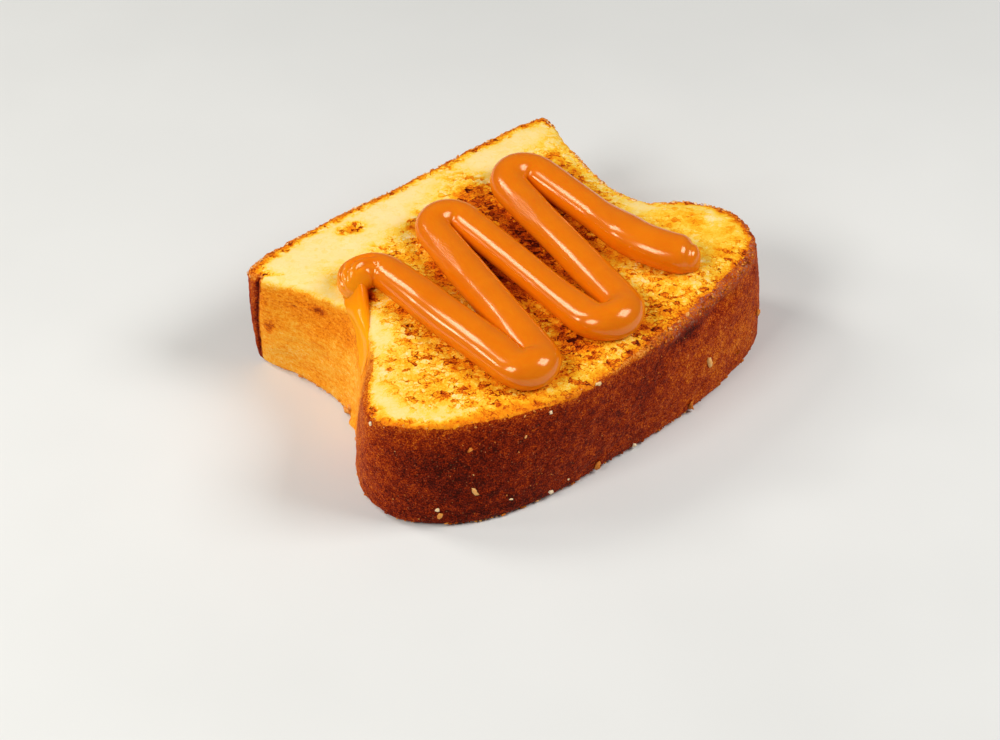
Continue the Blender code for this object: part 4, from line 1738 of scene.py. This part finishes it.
@dataclass
class Drip:
    """The thin start of the caramel, which ran over the left edge and down the wall."""

    form: SliceForm
    rows: int = 64
    columns: int = 33
    sink: float = 0.25 * MM  # how far its borders lie below the bread's mean surface
    back: float = 1.0 * MM
    smoothing: float = 2.2  # rows
    tip_share: float = 0.08  # share of its length over which the tip closes

    def build(self) -> Object:
        """Makes a closed film: its top is a low dome over the bread's skin, its back is inside it.

        The borders' places and runs are smooth between the knots. The film thickens from its
        first border, and s of the way across it is t(1 - s^8)^0.5 thick, where t is a smooth
        step of 1.25 s; it closes like a ball at the tip.

        Returns:
            The piece, dressed.
        """
        knots = np.array([(k.first_place, k.first_run, k.second_place, k.second_run, k.thickness, k.thin)
                          for k in DRIP])
        share = np.linspace(0.0, 1.0, self.rows)
        columns = np.column_stack([np.interp(share, np.linspace(0.0, 1.0, len(knots)), column)
                                   for column in knots.T])
        reach = np.arange(self.rows)[:, None] - np.arange(self.rows)[None, :]
        bell = np.exp(-0.5 * (reach / self.smoothing) ** 2)
        columns = bell @ columns / bell.sum(1, keepdims=True)
        across = np.linspace(0.0, 1.0, self.columns)
        place = columns[:, 0:1] + (columns[:, 2:3] - columns[:, 0:1]) * across
        run = columns[:, 1:2] + (columns[:, 3:4] - columns[:, 1:2]) * across
        skin = self.form.skin(place.ravel() * MM, run.ravel() * MM)
        number = grid_quads(self.rows, self.columns, closed=False)
        normals = vertex_normals(skin, number)
        middle = self.rows * self.columns // 4 + self.columns // 2
        normals *= np.sign(normals[middle, 2])
        dome = ease(1.25 * across) * np.sqrt(1.0 - across ** 8)
        tip = np.sqrt(np.clip((1.0 - share) / self.tip_share, 0.0, 1.0))
        tall = columns[:, 4:5] * dome[None, :] * tip[:, None]
        top = skin + normals * (tall.ravel() * MM - self.sink)[:, None]
        back = skin - normals * self.back
        count = len(skin)
        rim = self.border()
        beside = np.roll(rim, -1)
        sides = np.column_stack((rim, rim + count, beside + count, beside))
        faces = [number, number[:, ::-1] + count, sides]
        if self.faces_inwards(top, number, normals):
            faces = [part[:, ::-1] for part in faces]
        thin = np.repeat(columns[:, 5], self.columns)
        item = mesh_object("caramel_drip", np.vstack((top, back)), faces,
                           {"thin": np.concatenate((thin, thin))})
        item.data.materials.append(SoftCaramel(name="cream caramel, run thin", gloss=0.2).material())
        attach(item, "root")
        return item

    @staticmethod
    def faces_inwards(top: Array, quads: Array, normals: Array) -> bool:
        """Whether the faces as numbered point away from the outward normals."""
        return bool((vertex_normals(top, quads) * normals).sum() < 0.0)

    def border(self) -> Array:
        """Vertex numbers round the film's outer edge, in order."""
        number = np.arange(self.rows * self.columns).reshape(self.rows, self.columns)
        return np.concatenate((number[0, :-1], number[:-1, -1], number[-1, :0:-1], number[:0:-1, 0]))


# ---- crumbs, flakes and droplets -----------------------------------------------------------------
@dataclass(frozen=True)
class DryCrumb:
    """Loose crumbs and torn flakes: dry bread, pale where it broke and brown where it was baked."""

    name: str = "dry bread crumb"
    roughness: float = 0.7
    grain: float = 0.5 * MM

    def material(self) -> Material:
        """Builds the node tree.

        Returns:
            The material for the crumbs and flakes.
        """
        made, tree = blank_material(self.name)
        node = partial(add_node, tree)
        shade = node("Attribute", settings={"attribute_name": "shade"}, out="Fac")
        place = node("TexCoord", out="Object")
        grain = node("TexNoise", {"Vector": place, "Scale": 1.0 / self.grain, "Detail": 2.0})
        toned = weighted_sum(tree, ((shade, 1.0), (grain, 0.5)), -0.25)
        colour = node("ValToRGB", {"Fac": toned}, stops=[
            (0.0, "#FFF3DC"), (0.3, "#FBD99A"), (0.55, "#EFA24A"), (0.8, "#C4600F"), (1.0, "#84300A")])
        shader = node("BsdfPrincipled", {"Base Color": colour, "Roughness": self.roughness,
                                         "Specular IOR Level": 0.1})
        node("OutputMaterial", {"Surface": shader})
        return made


@dataclass(frozen=True)
class Crumb:
    """One crumb that shows: its place round the edge, its distance over the rim, its half size in
    mm, how many times as long as wide it is, and its shade from pale 0 to brown 1."""

    place: float
    run: float
    size: float
    stretch: float
    shade: float


CRUMBS = (
    Crumb(222.2, 2.0, 0.60, 1.2, 0.18), Crumb(252.8, 9.0, 0.72, 1.5, 0.68),
    Crumb(253.8, 24.8, 0.76, 1.9, 0.48), Crumb(242.5, 30.8, 0.56, 1.4, 0.23),
    Crumb(243.2, 33.0, 0.80, 1.8, 0.58), Crumb(278.5, 35.2, 0.76, 1.2, 0.13),
    Crumb(279.0, 2.8, 0.56, 1.3, 0.18), Crumb(297.0, 0.8, 0.76, 1.5, 0.33),
    Crumb(312.8, 36.0, 0.68, 1.3, 0.13), Crumb(347.0, 22.5, 0.88, 2.4, 0.43),
    Crumb(264.8, 31.2, 0.40, 1.6, 0.23), Crumb(270.2, 8.5, 0.44, 1.3, 0.48),
    Crumb(297.0, 35.0, 1.04, 1.8, 0.68), Crumb(338.2, 35.0, 0.96, 1.9, 0.75),
    Crumb(364.0, 30.2, 0.72, 1.6, 0.90), Crumb(377.8, 24.0, 0.80, 2.0, 0.70),
    Crumb(176.6, 36.2, 1.28, 2.0, 0.58), Crumb(178.2, 33.6, 0.80, 1.5, 0.53),
    Crumb(285.0, 33.4, 0.36, 1.2, 0.23), Crumb(330.5, -0.6, 0.60, 1.4, 0.55),
    Crumb(335.0, -0.9, 0.50, 1.6, 0.60), Crumb(339.5, -1.2, 0.60, 1.3, 0.50),
)


@dataclass(frozen=True)
class Strewn:
    """Small pieces strewn over a stretch of the skin: how many, from and to round the edge, from
    and to over the rim, and the least and most of half size (all in mm) and of shade."""

    count: int
    place: tuple[float, float]
    run: tuple[float, float]
    size: tuple[float, float]
    shade: tuple[float, float]
    seed: int


FLAKES = (
    Strewn(240, (-6.0, 139.0), (-1.2, 1.8), (0.15, 0.50), (0.10, 0.70), 301),
    Strewn(320, (316.0, 402.0), (-1.6, 2.0), (0.12, 0.34), (0.60, 1.00), 311),
    Strewn(60, (205.0, 318.0), (-0.8, 1.6), (0.12, 0.26), (0.45, 1.00), 321),
    Strewn(150, (402.0, 470.0), (-1.4, 1.2), (0.20, 0.55), (0.20, 0.75), 331),
)

SPECKS = (
    Strewn(110, (206.0, 400.0), (2.0, 37.0), (0.10, 0.22), (0.45, 1.00), 341),
    Strewn(130, (204.0, 400.0), (36.6, 38.2), (0.20, 0.60), (0.45, 1.00), 351),
    Strewn(60, (140.0, 204.0), (36.0, 38.2), (0.25, 0.60), (0.35, 0.70), 361),
)


@dataclass
class Lumps:
    """Many small uneven lumps in one mesh, each a few dozen faces."""

    rings: int = 4
    sides: int = 7
    unevenness: float = 0.75
    grain: float = 0.55  # size of the bumps as a share of the ball's radius

    def shape(self) -> tuple[Array, Array, Array]:
        """A unit ball of rings with a pole at either end.

        Returns:
            Its points, the four-cornered faces between its rings and the caps' three-cornered ones.
        """
        polar = np.pi * np.arange(1, self.rings + 1) / (self.rings + 1)
        turn = 2 * np.pi * np.arange(self.sides) / self.sides
        ring = np.stack((np.sin(polar)[:, None] * np.cos(turn), np.sin(polar)[:, None] * np.sin(turn),
                         np.cos(polar)[:, None] * np.ones(self.sides)), axis=-1).reshape(-1, 3)
        count = len(ring)
        points = np.vstack((ring, (0.0, 0.0, 1.0), (0.0, 0.0, -1.0)))
        first = np.arange(self.sides)
        after = (first + 1) % self.sides
        last = count - self.sides
        caps = np.vstack((np.column_stack((np.full(self.sides, count), first, after)),
                          np.column_stack((np.full(self.sides, count + 1), last + after, last + first))))
        return points, grid_quads(self.rings, self.sides, closed=True)[:, ::-1], caps

    def strewn(self, middles: Array, normals: Array, sizes: Array, stretches: Array, flatness: float,
               seed: int) -> tuple[Array, list[Array]]:
        """Lumps at places, each turned at random about the skin's normal there.

        Each point of the ball is pushed in or out by bumps of its own, and the ball is stretched
        one way along the skin and flattened across it.

        Args:
            middles: the middle of each lump.
            normals: the skin's outward normal there.
            sizes: half size of each in metres.
            stretches: how many times as long as wide each is.
            flatness: thickness as a share of the width.
            seed: which of the random fields.

        Returns:
            All points, lump by lump, and the faces.
        """
        ball, quads, caps = self.shape()
        count, each = len(middles), len(ball)
        number = np.column_stack((np.arange(count), np.full(count, seed), np.zeros(count)))
        angle = 2 * np.pi * hashed(number, seed)
        aside = np.cross(normals, (0.31, 0.22, 0.93))
        aside /= np.linalg.norm(aside, axis=1, keepdims=True)
        across = np.cross(normals, aside)
        long_way = aside * np.cos(angle)[:, None] + across * np.sin(angle)[:, None]
        short_way = np.cross(normals, long_way)
        spots = ball[None, :, :] + number[:, None, :1] * 7.3
        push = 1.0 + self.unevenness * cloud(spots.reshape(-1, 3), self.grain, seed + 1).reshape(count, each)
        shaped = ball[None, :, :] * push[..., None] * sizes[:, None, None]
        points = (middles[:, None, :] + shaped[..., 0:1] * (stretches[:, None] * long_way)[:, None, :]
                  + shaped[..., 1:2] * short_way[:, None, :]
                  + shaped[..., 2:3] * (flatness * normals)[:, None, :])
        offsets = (np.arange(count) * each)[:, None, None]
        return points.reshape(-1, 3), [(quads[None] + offsets).reshape(-1, 4),
                                       (caps[None] + offsets).reshape(-1, 3)]


@dataclass
class LooseBread:
    """The crumbs on the crust and the torn flakes along the rim."""

    form: SliceForm
    lumps: Lumps
    probe: float = 0.3 * MM

    def normals(self, place: Array, run: Array) -> Array:
        """The skin's outward normals: the cross product of a step over it and a step round it.

        Args:
            place: distances round the edge.
            run: distances over the rim.

        Returns:
            One unit vector for each place.
        """
        round_it = self.form.skin(place + self.probe, run) - self.form.skin(place - self.probe, run)
        over_it = self.form.skin(place, run + self.probe) - self.form.skin(place, run - self.probe)
        facing = np.cross(over_it, round_it)
        return facing / np.linalg.norm(facing, axis=1, keepdims=True)

    @staticmethod
    def scattered(groups: tuple[Strewn, ...]) -> Array:
        """Random rows for each group of strewn pieces, small ones more often than large ones.

        Args:
            groups: how many of each and over what stretch.

        Returns:
            Rows of place, run, size, stretch and shade.
        """
        rows = []
        for group in groups:
            cells = np.column_stack((np.arange(group.count), np.full(group.count, group.seed),
                                     np.zeros(group.count)))
            chance = [hashed(cells, group.seed + k) for k in range(5)]
            columns = [low + (high - low) * share for (low, high), share in zip(
                (group.place, group.run, group.size, (1.0, 2.2), group.shade),
                (chance[0], chance[1], chance[2] ** 2, chance[3], chance[4]))]
            rows.append(np.column_stack(columns))
        return np.vstack(rows)

    def piece(self, name: str, rows: Array, flatness: float, seed: int) -> Object:
        """Makes one mesh of lumps from rows of place, run, size, stretch and shade, and dresses it.

        Args:
            name: the piece's name.
            rows: one row for each lump, sizes in mm.
            flatness: thickness of a lump as a share of its width.
            seed: which of the random fields.

        Returns:
            The piece.
        """
        place, run, size = (rows[:, :3] * MM).T
        normals = self.normals(place, run)
        middles = self.form.skin(place, run) + normals * (0.25 * flatness * size)[:, None]
        middles[:, 2] = np.maximum(middles[:, 2], size * 0.8)
        points, faces = self.lumps.strewn(middles, normals, size, rows[:, 3], flatness, seed)
        points[:, 2] = np.maximum(points[:, 2], 0.0)
        shade = np.repeat(rows[:, 4], len(points) // len(rows))
        item = mesh_object(name, points, faces, {"shade": shade})
        item.data.materials.append(DryCrumb(name="dry bread " + name).material())
        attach(item, "root")
        return item

    def build(self) -> list[Object]:
        """Makes the crumbs and the flakes.

        Returns:
            Both pieces.
        """
        named = np.array([(c.place, c.run, c.size, c.stretch, c.shade) for c in CRUMBS])
        crumbs = np.vstack((named, self.scattered(SPECKS)))
        return [self.piece("crust_crumbs", crumbs, 0.75, 401),
                self.piece("rim_flakes", self.scattered(FLAKES), 0.6, 411)]


@dataclass
class Droplets:
    """Tiny beads of caramel that were thrown off beside the piped line."""

    form: SliceForm
    bead: CaramelBead
    lumps: Lumps
    count: int = 110
    size: tuple[float, float] = (0.22 * MM, 0.55 * MM)
    away: tuple[float, float] = (0.1 * MM, 1.6 * MM)

    def build(self) -> Object:
        """Sets droplets just outside the bead's foot, left and right of it, at random.

        Returns:
            The piece, dressed.
        """
        rings, _ = self.bead.sections()
        cells = np.column_stack((np.arange(self.count), np.zeros(self.count), np.zeros(self.count)))
        chance = [hashed(cells, 501 + k) for k in range(4)]
        ring = (chance[0] * (len(rings) - 1)).astype(int)
        widest = np.where(chance[1] < 0.5, 0, self.bead.sides - self.bead.flat_sides - 1)
        foot = rings[ring, widest]
        outward = foot[:, :2] - rings[ring].mean(1)[:, :2]
        outward /= np.linalg.norm(outward, axis=1, keepdims=True)
        away = self.away[0] + (self.away[1] - self.away[0]) * chance[2] ** 2
        size = self.size[0] + (self.size[1] - self.size[0]) * chance[3] ** 2
        plan = foot[:, :2] + outward * (away + size)[:, None]
        middles = np.column_stack((plan, self.form.face_height(plan) + 0.2 * size))
        up = np.tile((0.0, 0.0, 1.0), (self.count, 1))
        points, faces = self.lumps.strewn(middles, up, size, np.full(self.count, 1.2), 0.8, 511)
        item = mesh_object("caramel_droplets", points, faces, {"thin": np.full(len(points), 0.5)})
        item.data.materials.append(SoftCaramel(name="cream caramel, droplets").material())
        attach(item, "root")
        return item


# ---- the studio --------------------------------------------------------------------------------
@dataclass(frozen=True)
class Softbox:
    """A rectangular soft light that faces the slice: where it stands seen from the slice, its
    width and height in metres, its power in watts and its colour."""

    name: str
    direction: tuple[float, float, float]
    size: tuple[float, float]
    power: float
    colour: str = "#FFF9F2"


SOFTBOXES = (
    Softbox("left_softbox", (-0.719, -0.025, 0.695), (0.34, 0.30), 3.85),
    Softbox("side_softbox", (-0.732, 0.494, 0.469), (0.12, 0.12), 0.90),
    Softbox("back_softbox", (-0.364, 0.606, 0.707), (0.20, 0.30), 2.26),
    Softbox("right_softbox", (0.491, -0.474, 0.731), (0.40, 0.40), 5.03, "#FFFAF6"),
)


@dataclass
class Studio:
    """The pale floor, the soft lights and the camera at the photo's viewing angle."""

    target: tuple[float, float, float] = (-0.00686, -0.00215, 0.0)
    camera_offset: tuple[float, float, float] = (-0.3653, -0.4447, 0.5265)
    lens: float = 85.0
    sensor: float = 36.0
    floor_half: float = 3.0
    floor_drop: float = 0.2 * MM  # the floor lies this far below the slice's foot
    light_distance: float = 0.90
    sky_colour: str = "#F3F3F4"
    sky_strength: float = 0.105

    def build(self) -> None:
        """Makes the floor, the lights, the sky and the camera."""
        self.floor()
        self.sky()
        for box in SOFTBOXES:
            self.softbox(box)
        self.camera()

    def floor(self) -> None:
        """A plain pale floor under the slice, staged."""
        half = self.floor_half
        corners = np.array([(-half, -half, 0.0), (half, -half, 0.0), (half, half, 0.0), (-half, half, 0.0)])
        item = mesh_object("studio_floor", corners - (0.0, 0.0, self.floor_drop),
                           [np.array([(0, 1, 2, 3)])])
        made, tree = blank_material("matt painted board")
        node = partial(add_node, tree)
        place = node("TexCoord", out="Object")
        grain = node("TexNoise", {"Vector": place, "Scale": 9.0, "Detail": 3.0})
        colour = node("ValToRGB", {"Fac": grain}, stops=[(0.3, "#DFE3E3"), (0.7, "#E4E8E8")])
        shader = node("BsdfPrincipled", {"Base Color": colour, "Roughness": 0.7})
        node("OutputMaterial", {"Surface": shader})
        item.data.materials.append(made)

    def sky(self) -> None:
        """An even, dim sky that fills the shadows."""
        world = bpy.data.worlds.new("studio_sky")
        world.use_nodes = True
        background = world.node_tree.nodes["Background"]
        background.inputs["Color"].default_value = linear(self.sky_colour)
        background.inputs["Strength"].default_value = self.sky_strength
        bpy.context.scene.world = world

    def softbox(self, box: Softbox) -> None:
        """Makes one light and turns it to the slice.

        Args:
            box: its size, its power and where it stands.
        """
        data = bpy.data.lights.new(box.name, "AREA")
        data.shape = "RECTANGLE"
        data.size, data.size_y = box.size
        data.energy = box.power
        data.color = linear(box.colour)[:3]
        item = bpy.data.objects.new(box.name, data)
        aim = np.array(box.direction) / np.linalg.norm(box.direction)
        item.location = aim * self.light_distance
        item.rotation_euler = self.looking(-aim)
        bpy.context.scene.collection.objects.link(item)

    @staticmethod
    def looking(direction: Array) -> Euler:
        """The turn that points a light or camera along a direction, its top kept upwards."""
        return Vector(direction).to_track_quat("-Z", "Y").to_euler()

    def camera(self) -> None:
        """A long lens, at the height and bearing that fit the photo."""
        data = bpy.data.cameras.new("photo_camera")
        data.lens = self.lens
        data.sensor_width = self.sensor
        data.clip_start = 0.01
        item = bpy.data.objects.new("photo_camera", data)
        offset = np.array(self.camera_offset)
        item.location = np.array(self.target) + offset
        item.rotation_euler = self.looking(-offset)
        bpy.context.scene.collection.objects.link(item)
        bpy.context.scene.camera = item


def main() -> None:
    """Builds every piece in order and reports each."""
    logging.basicConfig(level=logging.INFO, format="%(name)s: %(message)s", stream=sys.stdout)
    form, bead_lumps, bread_lumps = SliceForm(), Lumps(unevenness=0.08), Lumps()
    bead = CaramelBead(form)
    pieces = [Toast(form).build(), bead.build(), Drip(form).build(),
              Droplets(form, bead, bead_lumps).build(), *LooseBread(form, bread_lumps).build()]
    for item in pieces:
        LOG.info("%s: %d triangles", item.name, sum(len(p.vertices) - 2 for p in item.data.polygons))
    Studio().build()
    bpy.context.scene.view_settings.view_transform = "Standard"


if __name__ == "__main__":
    main()
